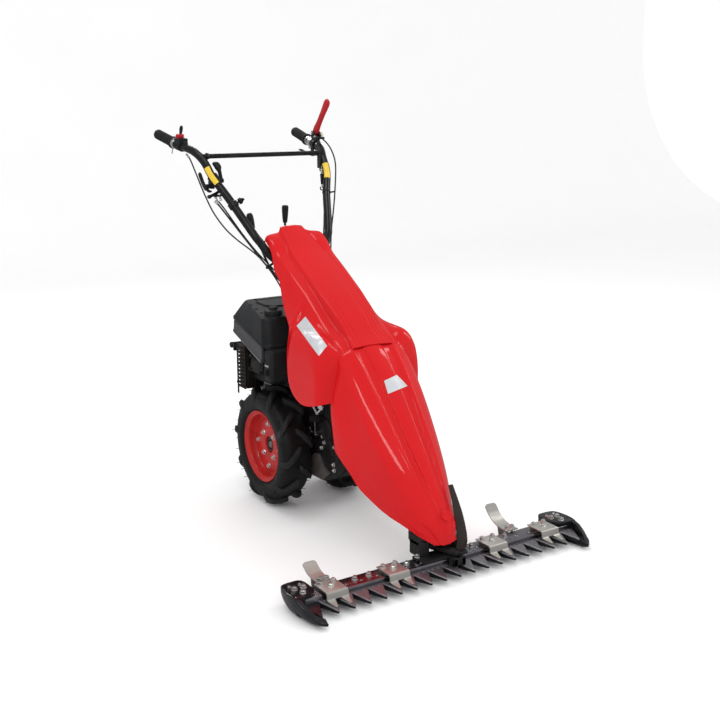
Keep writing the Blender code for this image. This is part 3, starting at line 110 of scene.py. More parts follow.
def setStudio():
    # The room lights the machine evenly, and its walls show only faintly in the paint.
    world = bpy.data.worlds.new("paleRoom")
    world.use_nodes = True
    tree = world.node_tree
    back = tree.nodes["Background"]
    back.inputs["Color"].default_value = (1, 1, 1, 1)
    sky = studio["sky"]
    mirrored = addNode(tree, "ShaderNodeLightPath").outputs["Is Glossy Ray"]
    level = addNode(tree, "ShaderNodeMath", {0: mirrored, 1: studio["mirroredSky"] - sky, 2: sky},
        operation="MULTIPLY_ADD")
    tree.links.new(level.outputs[0], back.inputs["Strength"])
    scene.world = world
    for name, place, size, power, aim in lamps:
        lamp = bpy.data.lights.new(name, "AREA")
        lamp.shape = "RECTANGLE"
        lamp.size, lamp.size_y = size
        lamp.energy = power
        body = bpy.data.objects.new(name, lamp)
        body.location = place
        body.rotation_euler = (Vector(aim) - Vector(place)).to_track_quat("-Z", "Y").to_euler()
        scene.collection.objects.link(body)
    mesh = bpy.data.meshes.new("paleFloor")
    reach, back, curve = studio["floorHalf"], studio["floorBack"], studio["curve"]
    bend = [(back + curve * math.sin(a), curve * (1 - math.cos(a)))
        for a in [math.radians(9 * k) for k in range(11)]]
    profile = [(-reach, 0.0), *bend, (back + curve, studio["rise"])]
    verts = [(x, y, z) for y, z in profile for x in (-reach, reach)]
    faces = [(2 * i, 2 * i + 1, 2 * i + 3, 2 * i + 2) for i in range(len(profile) - 1)]
    mesh.from_pydata(verts, [], faces)
    mesh.shade_smooth()
    floor = bpy.data.objects.new("paleFloor", mesh)
    scene.collection.objects.link(floor)
    mesh.materials.append(coat("floorPaper", (0.97, 0.97, 0.97), (0.955, 0.955, 0.955), 1.5, (0.9, 0.95),
        (60, 0.01)))
    # The paper too shows only faintly in paint and metal.
    tree = mesh.materials[0].node_tree
    paint = tree.nodes["Principled BSDF"].inputs["Base Color"]
    mirrored = addNode(tree, "ShaderNodeLightPath").outputs["Is Glossy Ray"]
    seen = addNode(tree, "ShaderNodeMix", data_type="RGBA")
    tree.links.new(mirrored, seen.inputs["Factor"])
    tree.links.new(paint.links[0].from_socket, seen.inputs[6])
    seen.inputs[7].default_value = (*studio["mirroredFloor"], 1)
    tree.links.new(seen.outputs[2], paint)
    scene.view_settings.view_transform = "Standard"


# Finishes. Each is one set of nodes on Object coordinates.
cloudEdges = (0.35, 0.75)  # where a patch starts and ends in the cloud pattern
grainDepth = 0.0006


def coat(name, colour, shade, patch, rough, grain, metal=0.0, stretch=(1, 1, 1), clear=0.0, clearRough=0.05,
        dust=None, dustAt=(0.55, 0.75), dustScale=14.0, ior=1.5):
    finish = bpy.data.materials.new(name)
    finish.use_nodes = True
    tree = finish.node_tree
    sockets = tree.nodes["Principled BSDF"].inputs
    for label, value in (("Metallic", metal), ("IOR", ior), ("Coat Weight", clear),
            ("Coat Roughness", clearRough)):
        sockets[label].default_value = value
    where = addNode(tree, "ShaderNodeTexCoord").outputs["Object"]
    spread = addNode(tree, "ShaderNodeMapping", {"Vector": where, "Scale": stretch})

    def noiseAt(scale, detail, source=spread):
        return addNode(tree, "ShaderNodeTexNoise", {"Vector": source, "Scale": scale, "Detail": detail})

    def spreadOut(value, low, high, first=0.0, last=1.0):
        limits = {"From Min": low, "From Max": high, "To Min": first, "To Max": last}
        return addNode(tree, "ShaderNodeMapRange", {"Value": value, **limits})

    def blendOf(share, first, second):
        return addNode(tree, "ShaderNodeMix", {"Factor": share, 6: first, 7: second},
            data_type="RGBA").outputs[2]

    cloudy = noiseAt(patch, 4.0)
    tint = blendOf(spreadOut(cloudy, *cloudEdges), colour, shade)
    wear = spreadOut(cloudy, *cloudEdges, *rough)
    if dust:
        tint = blendOf(spreadOut(noiseAt(dustScale, 8.0, where), *dustAt), tint, dust)
    bump = addNode(tree, "ShaderNodeBump", {"Height": noiseAt(grain[0], 2.0), "Strength": grain[1],
        "Distance": grainDepth})
    for label, source in (("Base Color", tint), ("Roughness", wear.outputs[0]), ("Normal", bump.outputs[0])):
        tree.links.new(source, sockets[label])
    return finish


setCamera()
setStudio()
print("camera and studio set")

# Colour, second colour, patch size, roughness, grain scale and height, and what else the finish needs
finishRows = {
    "hoodRed": ((0.62, 0.009, 0.012), (0.56, 0.007, 0.01), 3.0, (0.3, 0.38), (700, 0.03),
        {"clear": 0.5, "clearRough": 0.05, "ior": 1.12}),
    "rimRed": ((0.46, 0.016, 0.014), (0.36, 0.012, 0.01), 20, (0.3, 0.45), (500, 0.08),
        {"clear": 0.3, "clearRough": 0.12, "dust": (0.12, 0.06, 0.05), "dustAt": (0.62, 0.85), "ior": 1.3}),
    "tubeBlack": ((0.007, 0.007, 0.008), (0.014, 0.014, 0.015), 30, (0.26, 0.4), (800, 0.06),
        {"clear": 0.3, "clearRough": 0.1, "ior": 1.25}),
    "guardBlack": ((0.022, 0.016, 0.013), (0.034, 0.026, 0.021), 16, (0.3, 0.42), (500, 0.1),
        {"clear": 0.15, "clearRough": 0.15, "ior": 1.3}),
    "shoeBlack": ((0.007, 0.007, 0.009), (0.016, 0.015, 0.017), 26, (0.18, 0.34), (600, 0.08),
        {"clear": 0.5, "clearRough": 0.08, "dust": (0.07, 0.06, 0.058), "dustAt": (0.68, 0.92), "ior": 1.3}),
    "castBlack": ((0.01, 0.0095, 0.0095), (0.022, 0.02, 0.02), 22, (0.38, 0.58), (260, 0.35),
        {"dust": (0.055, 0.046, 0.04), "dustAt": (0.6, 0.85), "ior": 1.35}),
    "castDusty": ((0.085, 0.074, 0.07), (0.055, 0.048, 0.045), 30, (0.5, 0.7), (260, 0.4),
        {"dust": (0.15, 0.12, 0.1), "dustAt": (0.55, 0.85), "dustScale": 40}),
    "castGrey": ((0.16, 0.16, 0.165), (0.1, 0.1, 0.105), 24, (0.38, 0.55), (420, 0.3),
        {"metal": 0.85, "dust": (0.05, 0.045, 0.04), "dustAt": (0.6, 0.85)}),
    "tyreRubber": ((0.005, 0.005, 0.0055), (0.009, 0.0088, 0.0085), 18, (0.36, 0.52), (350, 0.25),
        {"dust": (0.03, 0.028, 0.026), "dustAt": (0.6, 0.9), "ior": 1.35}),
    "treadRubber": ((0.009, 0.009, 0.0095), (0.018, 0.0175, 0.017), 24, (0.5, 0.7), (350, 0.3),
        {"dust": (0.06, 0.056, 0.052), "dustAt": (0.58, 0.85), "ior": 1.4}),
    "gripRubber": ((0.016, 0.016, 0.017), (0.026, 0.026, 0.026), 60, (0.55, 0.7), (900, 0.25), {"ior": 1.35}),
    "cableBlack": ((0.009, 0.009, 0.01), (0.015, 0.015, 0.015), 50, (0.3, 0.42), (900, 0.06), {"ior": 1.35}),
    "coverBlack": ((0.009, 0.01, 0.011), (0.015, 0.016, 0.017), 14, (0.38, 0.5), (1100, 0.22),
        {"dust": (0.045, 0.044, 0.043), "dustAt": (0.7, 0.95), "ior": 1.3}),
    "skirtGrey": ((0.045, 0.045, 0.048), (0.06, 0.06, 0.062), 14, (0.38, 0.5), (1000, 0.15), {"ior": 1.35}),
    "stainless": ((0.72, 0.7, 0.65), (0.6, 0.58, 0.54), 9, (0.42, 0.54), (140, 0.1),
        {"metal": 1.0, "stretch": (1, 9, 9), "dust": (0.36, 0.33, 0.29), "dustAt": (0.66, 0.95)}),
    "zinc": ((0.95, 0.95, 0.93), (0.76, 0.76, 0.74), 120, (0.2, 0.36), (700, 0.08), {"metal": 1.0}),
    "barSteel": ((0.36, 0.35, 0.38), (0.26, 0.25, 0.27), 11, (0.16, 0.3), (200, 0.12),
        {"metal": 1.0, "stretch": (1, 4, 4), "dust": (0.16, 0.12, 0.11), "dustAt": (0.6, 0.85)}),
    "bladeSteel": ((0.36, 0.35, 0.375), (0.26, 0.25, 0.265), 30, (0.36, 0.5), (300, 0.15),
        {"metal": 1.0, "stretch": (5, 1, 1)}),
    "axleSteel": ((0.36, 0.35, 0.34), (0.22, 0.21, 0.2), 40, (0.28, 0.42), (500, 0.12), {"metal": 1.0}),
    "burntSteel": ((0.03, 0.023, 0.018), (0.018, 0.015, 0.013), 16, (0.4, 0.58), (300, 0.2),
        {"metal": 0.5, "dust": (0.07, 0.05, 0.038), "dustAt": (0.62, 0.85), "ior": 1.35}),
    "leverRed": ((0.42, 0.012, 0.016), (0.36, 0.01, 0.013), 30, (0.28, 0.36), (900, 0.05),
        {"clear": 0.2, "ior": 1.3}),
    "leverCream": ((0.72, 0.68, 0.6), (0.62, 0.58, 0.5), 40, (0.4, 0.5), (900, 0.08), {}),
    "plateSilver": ((0.66, 0.68, 0.7), (0.58, 0.6, 0.63), 40, (0.3, 0.42), (600, 0.04),
        {"metal": 0.25, "clear": 0.3}),
    "plateYellow": ((0.8, 0.55, 0.03), (0.72, 0.48, 0.03), 40, (0.34, 0.42), (600, 0.04), {"clear": 0.3}),
}
finishes = {name: coat(name, *row, **more) for name, (*row, more) in finishRows.items()}
print(len(finishes), "finishes made")

# Mesh helpers. Each gives a bmesh in machine coordinates, and settle() makes it a piece.
def turnsOf(count):
    return [fullTurn * k / count for k in range(count)]


def ringOn(centre, along, radius, count):
    along = Vector(along).normalized()
    side = Vector((0, 0, 1)).cross(along)
    if side.length < 0.05:
        side = Vector((1, 0, 0))
    side.normalize()
    up = along.cross(side)
    return [Vector(centre) + radius * (math.cos(a) * side + math.sin(a) * up) for a in turnsOf(count)]


def skin(rings, loop=False):
    # Faces between closed rings, with end caps, or joined into a loop.
    work = bmesh.new()
    rows = [[work.verts.new(p) for p in ring] for ring in rings]
    count = len(rows[0])
    for a, b in list(zip(rows, rows[1:])) + ([(rows[-1], rows[0])] if loop else []):
        for i in range(count):
            j = (i + 1) % count
            work.faces.new((a[i], a[j], b[j], b[i]))
    if not loop:
        work.faces.new(rows[0])
        work.faces.new(rows[-1])
    return work


def lathe(centre, along, profile, count, loop=False):
    way, least = Vector(along).normalized(), 0.00005
    return skin([ringOn(Vector(centre) + d * way, way, max(r, least), count) for d, r in profile], loop)


def wayAt(points, i):
    return (points[min(i + 1, len(points) - 1)] - points[max(i - 1, 0)]).normalized()


def curveOf(points, step):
    # Even points on a smooth curve through the given ones.
    points = [Vector(p) for p in points]
    ends = [2 * points[0] - points[1]] + points + [2 * points[-1] - points[-2]]
    parts = 16
    fine = []
    for i in range(1, len(ends) - 2):
        p0, p1, p2, p3 = ends[i - 1:i + 3]
        for k in range(parts):
            t = k / parts
            fine.append(0.5 * (2 * p1 + (p2 - p0) * t + (2 * p0 - 5 * p1 + 4 * p2 - p3) * t * t
                + (3 * p1 - p0 - 3 * p2 + p3) * t ** 3))
    fine.append(points[-1])
    lengths = [0.0]
    for a, b in zip(fine, fine[1:]):
        lengths.append(lengths[-1] + (b - a).length)
    count = max(3, round(lengths[-1] / step))
    even = []
    at = 0
    for s in range(count + 1):
        goal = lengths[-1] * s / count
        while at < len(fine) - 2 and lengths[at + 1] < goal:
            at += 1
        even.append(fine[at].lerp(fine[at + 1], (goal - lengths[at]) / (lengths[at + 1] - lengths[at])))
    return even


def pipe(points, radius, count):
    points = [Vector(p) for p in points]
    rings = []
    side = wayAt(points, 0).orthogonal()
    for i, point in enumerate(points):
        along = wayAt(points, i)
        side = (side - side.dot(along) * along).normalized()
        up = along.cross(side)
        wide = radius(i / (len(points) - 1)) if callable(radius) else radius
        rings.append([point + wide * (math.cos(a) * side + math.sin(a) * up) for a in turnsOf(count)])
    return skin(rings)


def crossPin(middle, half, radius, count):
    # A pin across the machine.
    return pipe([middle - Vector((half, 0, 0)), middle + Vector((half, 0, 0))], radius, count)


def slab(outline, offset):
    # A flat outline pushed through by an offset.
    low = [Vector(p) for p in outline]
    return skin([low, [p + Vector(offset) for p in low]])


def rounded(work, width, segments, angle=28):
    bmesh.ops.recalc_face_normals(work, faces=work.faces)
    edges = [e for e in work.edges if len(e.link_faces) == 2 and e.calc_face_angle(0) > math.radians(angle)]
    bmesh.ops.bevel(work, geom=edges, offset=width, segments=segments, profile=0.6, affect="EDGES")
    return work


def roundBox(low, high, width, segments=3):
    (x0, y0, z0), (x1, y1, z1) = low, high
    return rounded(slab([(x0, y0, z0), (x1, y0, z0), (x1, y1, z0), (x0, y1, z0)], (0, 0, z1 - z0)), width,
        segments)


def gather(parts):
    whole = bmesh.new()
    for part in parts:
        mesh = bpy.data.meshes.new("part")
        part.to_mesh(mesh)
        part.free()
        whole.from_mesh(mesh)
        bpy.data.meshes.remove(mesh)
    return whole


def softCopy(node, width, segments):
    # The CAD node's own surface with rounded edges, for plates and castings.
    work = bmesh.new()
    work.from_mesh(frame["nodes"][node].data)
    bmesh.ops.remove_doubles(work, verts=work.verts, dist=0.00003)
    bmesh.ops.dissolve_limit(work, angle_limit=math.radians(1), verts=work.verts, edges=work.edges)
    bmesh.ops.translate(work, verts=work.verts, vec=(0, middleY, 0))
    return rounded(work, width, segments)


def meshOf(work, name="base"):
    # Takes a bmesh or a list of them.
    if isinstance(work, list):
        work = gather(work)
    bmesh.ops.remove_doubles(work, verts=work.verts, dist=0.00001)
    bmesh.ops.recalc_face_normals(work, faces=work.faces)
    mesh = bpy.data.meshes.new(name)
    work.to_mesh(mesh)
    work.free()
    return mesh


bodyOf = {node: body for body, nodes in frame["record"]["behaviour"]["bodies"].items() for node in nodes}
# Slots of the pieces that stand for no CAD node
plainSlot = {"tubeBlack": "blackPaint", "castBlack": "blackPaint", "coverBlack": "plastic",
    "plateYellow": "plastic", "cableBlack": "rubber", "gripRubber": "rubber", "barSteel": "darkSteel",
    "castDusty": "castAlloy", "leverCream": "redPlastic"}


def take(name, mesh, body, stands=()):
    piece = bpy.data.objects.new(name, mesh)
    scene.collection.objects.link(piece)
    if isinstance(body, str):
        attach(piece, body)
    else:
        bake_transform(piece)
    if stands:
        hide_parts(*stands)
    return piece


def dressed(name, mesh, finish, node, body, slotName, angle, shift=(0, 0, 0)):
    # Moves a mesh into the frame and makes it a piece. A node gives its body.
    mesh.transform(Matrix.Translation(Vector(shift) - Vector((0, middleY, 0))))
    mesh.name = name
    mesh.shade_smooth()
    mesh.set_sharp_from_angle(angle=math.radians(angle))
    if not mesh.materials:
        mesh.materials.append(finishes[finish])
    slotName = slotName or (None if node else plainSlot.get(finish, "steel"))
    return take(name, mesh, body or bodyOf.get(node, "machine"), [node] if node else ())


def settle(name, work, finish, node=None, body=None, slotName=None, angle=32):
    return dressed(name, meshOf(work, name), finish, node, body, slotName, angle)


# Geometry Nodes trees
def startTree(name, sizes):
    tree = bpy.data.node_groups.new(name, "GeometryNodeTree")
    for label, kind in [("Geometry", "Geometry"), *sizes, ("Finish", "Material")]:
        tree.interface.new_socket(label, in_out="INPUT", socket_type="NodeSocket" + kind)
    tree.interface.new_socket("Geometry", in_out="OUTPUT", socket_type="NodeSocketGeometry")
    return tree, tree.nodes.new("NodeGroupInput").outputs


def endTree(tree, given, copies):
    plain = addNode(tree, "GeometryNodeRealizeInstances", {"Geometry": copies})
    paint = addNode(tree, "GeometryNodeSetMaterial", {"Geometry": plain, "Material": given["Finish"]})
    addNode(tree, "NodeGroupOutput", {"Geometry": paint})
    return tree


def makeRingTree():
    # Copies of the given mesh turned round the X axis through the origin.
    tree, given = startTree("ringOfCopies", [("Count", "Int"), ("First Turn", "Float")])
    points = addNode(tree, "GeometryNodePoints", {"Count": given["Count"]})
    index = addNode(tree, "GeometryNodeInputIndex")
    step = addNode(tree, "ShaderNodeMath", {0: fullTurn, 1: given["Count"]}, operation="DIVIDE")
    turn = addNode(tree, "ShaderNodeMath", {0: index, 1: step, 2: given["First Turn"]},
        operation="MULTIPLY_ADD")
    angle = addNode(tree, "ShaderNodeCombineXYZ", {"X": turn})
    copies = {"Points": points, "Instance": given["Geometry"], "Rotation": angle}
    return endTree(tree, given, addNode(tree, "GeometryNodeInstanceOnPoints", copies))


def makeRowTree():
    # Copies of the given mesh in a straight row.
    tree, given = startTree("rowOfCopies", [("Count", "Int"), ("Step", "Vector")])
    index = addNode(tree, "GeometryNodeInputIndex")
    place = addNode(tree, "ShaderNodeVectorMath", {0: given["Step"], "Scale": index}, operation="SCALE")
    points = addNode(tree, "GeometryNodePoints", {"Count": given["Count"], "Position": place})
    copies = {"Points": points, "Instance": given["Geometry"]}
    return endTree(tree, given, addNode(tree, "GeometryNodeInstanceOnPoints", copies))


def makeNutTree():
    # A washer, a hexagon nut and a stud end on every given point, along its facing attribute.
    names = ("Across Flats", "Nut Height", "Stud Radius", "Stud Height")
    tree, given = startTree("nutsOnPoints", [(label, "Float") for label in names])
    across, high, stud, proud = (given[label] for label in names)

    def scaled(source, factor):
        return addNode(tree, "ShaderNodeMath", {0: source, 1: factor}, operation="MULTIPLY")

    def drum(sides, radius, wide, height, tall, topShare):
        sizes = {"Radius Bottom": scaled(radius, wide), "Radius Top": scaled(radius, wide * topShare)}
        return addNode(tree, "GeometryNodeMeshCone",
            {"Vertices": sides, **sizes, "Depth": scaled(height, tall)})

    def raised(mesh, share):
        shift = addNode(tree, "ShaderNodeCombineXYZ", {"Z": scaled(high, share)})
        return addNode(tree, "GeometryNodeTransform", {"Geometry": mesh, "Translation": shift})

    join = addNode(tree, "GeometryNodeJoinGeometry")
    for mesh in (drum(24, across, 0.72, high, 0.16, 0.97),
            raised(drum(6, across, 0.577, high, 0.8, 1.0), 0.1),
            raised(drum(6, across, 0.577, high, 0.14, 0.86), 0.9), drum(12, stud, 1.0, proud, 1.0, 0.9)):
        tree.links.new(mesh.outputs[0], join.inputs[0])
    facing = addNode(tree, "GeometryNodeInputNamedAttribute", {"Name": "facing"}, data_type="FLOAT_VECTOR")
    spin = addNode(tree, "GeometryNodeInputNamedAttribute", {"Name": "spin"}, data_type="FLOAT")
    turn = addNode(tree, "ShaderNodeCombineXYZ", {"Z": spin.outputs["Attribute"]})
    aim = addNode(tree, "FunctionNodeAlignRotationToVector", {"Vector": facing.outputs["Attribute"]},
        axis="Z")
    copies = {"Points": given["Geometry"], "Instance": join, "Rotation": aim}
    copies = addNode(tree, "GeometryNodeInstanceOnPoints", copies)
    return endTree(tree, given, addNode(tree, "GeometryNodeRotateInstances",
        {"Instances": copies, "Rotation": turn}))


ringTree = makeRingTree()
rowTree = makeRowTree()
nutTree = makeNutTree()


def grow(name, tree, base, sizes, finish, node=None, body=None, slotName=None, shift=(0, 0, 0), angle=35):
    # Runs a tree on a base mesh and keeps the result as a plain piece.
    seed = bpy.data.objects.new("seed", base)
    scene.collection.objects.link(seed)
    change = seed.modifiers.new("grow", "NODES")
    change.node_group = tree
    ids = {item.name: item.identifier for item in tree.interface.items_tree if item.in_out == "INPUT"}
    for label, value in {**sizes, "Finish": finishes[finish]}.items():
        change[ids[label]] = value
    seed.update_tag()
    graph = bpy.context.evaluated_depsgraph_get()
    mesh = bpy.data.meshes.new_from_object(seed.evaluated_get(graph))
    seed.modifiers.remove(change)
    bpy.data.objects.remove(seed, do_unlink=True)
    return dressed(name, mesh, finish, node, body, slotName, angle, shift)


nutTurn, nutTurnRange = 0.7, 1.05  # each nut is turned on from the one before


def nuts(name, places, sizes, body="machine", finish="zinc", slotName="steel"):
    # Places are pairs of point and direction. Sizes are across flats, nut height, stud radius and stud end.
    across, high, stud, proud = sizes
    mesh = bpy.data.meshes.new("points")
    mesh.from_pydata([tuple(p) for p, way in places], [], [])
    facing = mesh.attributes.new("facing", "FLOAT_VECTOR", "POINT")
    for i, (p, way) in enumerate(places):
        facing.data[i].vector = Vector(way).normalized()
    spin = mesh.attributes.new("spin", "FLOAT", "POINT")
    for i in range(len(places)):
        spin.data[i].value = i * nutTurn % nutTurnRange
    sizes = {"Across Flats": across, "Nut Height": high, "Stud Radius": stud, "Stud Height": high + proud}
    return grow(name, nutTree, mesh, sizes, finish, None, body, slotName, angle=25)


# Wheels. The first number of each pair is the distance outwards from the middle of the tyre.
wheelSizes = {
    "track": 0.136, "axleY": 0.865, "axleZ": 0.202, "lugs": 10,
    "rim": [(0.004, 0.0155), (0.004, 0.0262), (0.01, 0.0268), (0.0135, 0.0285), (0.0145, 0.034),
        (0.0143, 0.06), (0.0138, 0.084), (0.0125, 0.09), (0.0112, 0.095), (0.0125, 0.099), (0.018, 0.102),
        (0.026, 0.1036), (0.033, 0.1048), (0.0385, 0.1062), (0.0412, 0.1095), (0.0425, 0.114),
        (0.0452, 0.116), (0.0466, 0.1188), (0.046, 0.1212), (0.044, 0.1222), (0.0415, 0.1212),
        (0.0396, 0.117), (0.039, 0.111), (0.0375, 0.1078), (-0.0375, 0.1078), (-0.039, 0.111), (-0.04, 0.118),
        (-0.042, 0.1208), (-0.044, 0.12), (-0.0435, 0.114), (-0.04, 0.1062), (-0.034, 0.104), (0.004, 0.103),
        (0.0085, 0.0985), (0.0085, 0.095), (0.01, 0.086), (0.0105, 0.06), (0.01, 0.038), (-0.04, 0.034),
        (-0.04, 0.0155)],
    "tyre": [(0.0385, 0.108), (0.0402, 0.111), (0.0408, 0.118), (0.043, 0.1236), (0.0462, 0.1252),
        (0.0475, 0.1275), (0.05, 0.129), (0.0498, 0.1312), (0.0515, 0.133), (0.0528, 0.142), (0.0534, 0.15),
        (0.0526, 0.16), (0.0502, 0.169), (0.0455, 0.1765), (0.038, 0.1815), (0.028, 0.1842), (0.015, 0.1853),
        (0.0, 0.1856)],
    "bar": [(-0.004, 0.196, 0.0, -1.0, -0.012, 0.008), (-0.001, 0.2005, 0.0, -1.0, -0.006, 0.0105),
        (0.006, 0.2018, 0.0, -1.0, 0.022, 0.0115), (0.018, 0.2018, 0.0, -1.0, 0.075, 0.0118),
        (0.03, 0.2004, -0.15, -1.0, 0.135, 0.0118), (0.04, 0.1972, -0.35, -0.95, 0.185, 0.0118),
        (0.0475, 0.192, -0.65, -0.75, 0.222, 0.0116), (0.0522, 0.184, -0.9, -0.45, 0.246, 0.0114),
        (0.0543, 0.174, -1.0, -0.15, 0.262, 0.011), (0.0547, 0.163, -1.0, 0.0, 0.272, 0.0104),
        (0.0542, 0.154, -1.0, 0.15, 0.28, 0.009), (0.053, 0.1485, -1.0, 0.4, 0.284, 0.006)],
    "nutRings": [(0.0745, 0), (0.05, 45)], "nuts": (0.014, 0.0065, 0.0042, 0.003),
    "hubCap": [(-0.01, 0.015), (-0.01, 0.0262), (0.006, 0.0262), (0.0085, 0.0252), (0.0098, 0.0225),
        (0.0098, 0.0165), (0.0088, 0.015)],
    "hairs": [(0.0, 0.048, 0.19), (0.42, 0.05, 0.168), (0.75, 0.044, 0.1785)],
}


def treadBar(side, flank, start):
    # One bar of the tread, from the crown over the shoulder and down the side wall.
    rings = []
    for out, r, inX, inR, lag, half in wheelSizes["bar"]:
        ring = []
        depth = Vector((inX, inR)).normalized()
        soft = 0.0026
        for w, sunk in ((-half * 1.12, 0.016), (-half * 1.02, soft), (-half * 0.93, soft * 0.35),
                (-half * 0.74, 0.0), (0.0, -0.0004), (half * 0.74, 0.0), (half * 0.93, soft * 0.35),
                (half * 1.02, soft), (half * 1.12, 0.016)):
            x, reach = out + depth.x * sunk, r + depth.y * sunk
            t = start + lag + w / reach
            ring.append((side * flank * x, -reach * math.sin(t), reach * math.cos(t)))
        rings.append(ring)
    return skin(rings)


def mouldHair(side, flank, start, x, r):
    t = start + 0.215
    at = Vector((side * flank * x, -r * math.sin(t), r * math.cos(t)))
    tip = at + Vector((side * flank * 0.012, -0.001, 0.0016))
    return pipe([at - (tip - at) * 0.3, tip], lambda share: 0.0011 - 0.0004 * share, 6)


def makeWheel(name, side):
    sizes = wheelSizes
    hub = Vector((side * sizes["track"], sizes["axleY"], sizes["axleZ"]))
    out = (side, 0, 0)
    section = sizes["tyre"] + [(-d, r) for d, r in reversed(sizes["tyre"][:-1])]
    settle("tyre_body_" + name, lathe(hub, out, section, 120, loop=True), "tyreRubber", "tyre_" + name,
        angle=50)
    pitch = fullTurn / sizes["lugs"]
    bars = []
    for flank, share in ((1, 0.25), (-1, 0.75)):
        bars.append(treadBar(side, flank, share * pitch))
        bars += [mouldHair(side, flank, (share + late) * pitch, x, r) for late, x, r in sizes["hairs"]]
    grow("tyre_bars_" + name, ringTree, meshOf(bars), {"Count": sizes["lugs"], "First Turn": 0.0},
        "treadRubber", "tyre_" + name, shift=hub, angle=40)
    settle("rim_dish_" + name, lathe(hub, out, sizes["rim"], 112, loop=True), "rimRed", "rim_" + name,
        angle=40)
    spots = []
    for radius, first in sizes["nutRings"]:
        for a in [math.radians(90 * k + first) for k in range(4)]:
            spots.append((hub + Vector((side * 0.014, radius * math.cos(a), radius * math.sin(a))), out))
    nuts("rim_nuts_" + name, spots, sizes["nuts"], name + "_wheel")
    # The black cap on the hub
    cap = lathe(hub, out, sizes["hubCap"], 48, loop=True)
    settle("hub_cap_" + name, cap, "tubeBlack", body=name + "_wheel")


def makeAxle():
    end = [(0.1466, 0.002), (0.1466, 0.01), (0.1446, 0.0128), (0.142, 0.014)]
    profile = [(-out, r) for out, r in end] + end[::-1]
    shaft = lathe((0, wheelSizes["axleY"], wheelSizes["axleZ"]), (1, 0, 0), profile, 40)
    settle("axle_shaft", shaft, "axleSteel", "axle")


for name, side in (("left", 1), ("right", -1)):
    makeWheel(name, side)
makeAxle()
print("wheels made")


# Hoods. The numbers follow the CAD's sections, with more points for creases and channels.
def valueAt(table, y):
    if y <= table[0][0]:
        return table[0][1]
    for (y0, v0), (y1, v1) in zip(table, table[1:]):
        if y <= y1:
            return v0 + (v1 - v0) * (y - y0) / (y1 - y0)
    return table[-1][1]


def bothSides(half):
    # A full row from the middle outwards, without repeating the middle point.
    return [(-x, y, z) for x, y, z in reversed(half[1:])] + list(half)


hoodWall = 0.0028


def hoodSheet(name, node, rows, columnCrease, rowCrease, levels):
    # One smooth sheet through the rows, with its creases, and then its wall.
    work = bmesh.new()
    grid = [[work.verts.new(p) for p in row] for row in rows]
    down, across = len(grid), len(grid[0])
    middle = across // 2
    for r in range(down - 1):
        for c in range(across - 1):
            work.faces.new((grid[r][c], grid[r][c + 1], grid[r + 1][c + 1], grid[r + 1][c]))
    crease = work.edges.layers.float.new("crease_edge")
    for c, weight in columnCrease.items():
        for column in {middle - c, middle + c}:
            for r in range(down - 1):
                work.edges.get((grid[r][column], grid[r + 1][column]))[crease] = weight
    for r, (weight, first) in rowCrease.items():
        for c in range(across - 1):
            if abs(c + 0.5 - middle) >= first:
                work.edges.get((grid[r][c], grid[r][c + 1]))[crease] = weight
    work.normal_update()
    if sum(f.normal.z for f in work.faces) < 0:
        bmesh.ops.reverse_faces(work, faces=work.faces)
    mesh = bpy.data.meshes.new("sheet")
    work.to_mesh(mesh)
    work.free()
    holder = bpy.data.objects.new("sheet", mesh)
    scene.collection.objects.link(holder)
    smooth = holder.modifiers.new("smooth", "SUBSURF")
    smooth.levels = smooth.render_levels = levels
    smooth.boundary_smooth = "PRESERVE_CORNERS"
    solid = holder.modifiers.new("wall", "SOLIDIFY")
    solid.thickness = hoodWall
    solid.offset = -1
    done = bpy.data.meshes.new_from_object(holder.evaluated_get(bpy.context.evaluated_depsgraph_get()))
    bpy.data.objects.remove(holder, do_unlink=True)
    dressed(name, done, "hoodRed", node, None, None, 50)


noseSections = [
    [(0, 0.069, 0.092), (0.014, 0.069, 0.093), (0.025, 0.07, 0.096), (0.033, 0.073, 0.098),
        (0.04, 0.076, 0.1)],
    [(0, 0.065, 0.13), (0.021, 0.068, 0.131), (0.04, 0.08, 0.13), (0.049, 0.089, 0.118),
        (0.055, 0.097, 0.108)],
    [(0, 0.07, 0.165), (0.026, 0.078, 0.167), (0.059, 0.108, 0.15), (0.068, 0.116, 0.132),
        (0.07, 0.12, 0.119)],
    [(0, 0.085, 0.19), (0.031, 0.106, 0.193), (0.071, 0.137, 0.164), (0.08, 0.148, 0.148),
        (0.085, 0.166, 0.137)],
    [(0, 0.128, 0.24), (0.04, 0.138, 0.238), (0.081, 0.163, 0.205), (0.091, 0.182, 0.17),
        (0.095, 0.21, 0.145)],
    [(0, 0.186, 0.308), (0.051, 0.186, 0.303), (0.091, 0.19, 0.248), (0.098, 0.218, 0.197),
        (0.1, 0.264, 0.156)],
    [(0, 0.25, 0.382), (0.062, 0.249, 0.374), (0.106, 0.245, 0.316), (0.109, 0.28, 0.24),
        (0.108, 0.318, 0.178)],
    [(0, 0.314, 0.459), (0.067, 0.313, 0.452), (0.117, 0.308, 0.396), (0.118, 0.34, 0.29),
        (0.115, 0.365, 0.197)],
    [(0, 0.371, 0.523), (0.074, 0.37, 0.514), (0.121, 0.364, 0.472), (0.13, 0.38, 0.35),
        (0.125, 0.388, 0.236)],
    [(0, 0.416, 0.572), (0.076, 0.415, 0.563), (0.122, 0.412, 0.528), (0.144, 0.42, 0.39),
        (0.13, 0.418, 0.255)],
    [(0, 0.4545, 0.606), (0.078, 0.4545, 0.6), (0.122, 0.4545, 0.572), (0.152, 0.4545, 0.43),
        (0.135, 0.4545, 0.285)],
]
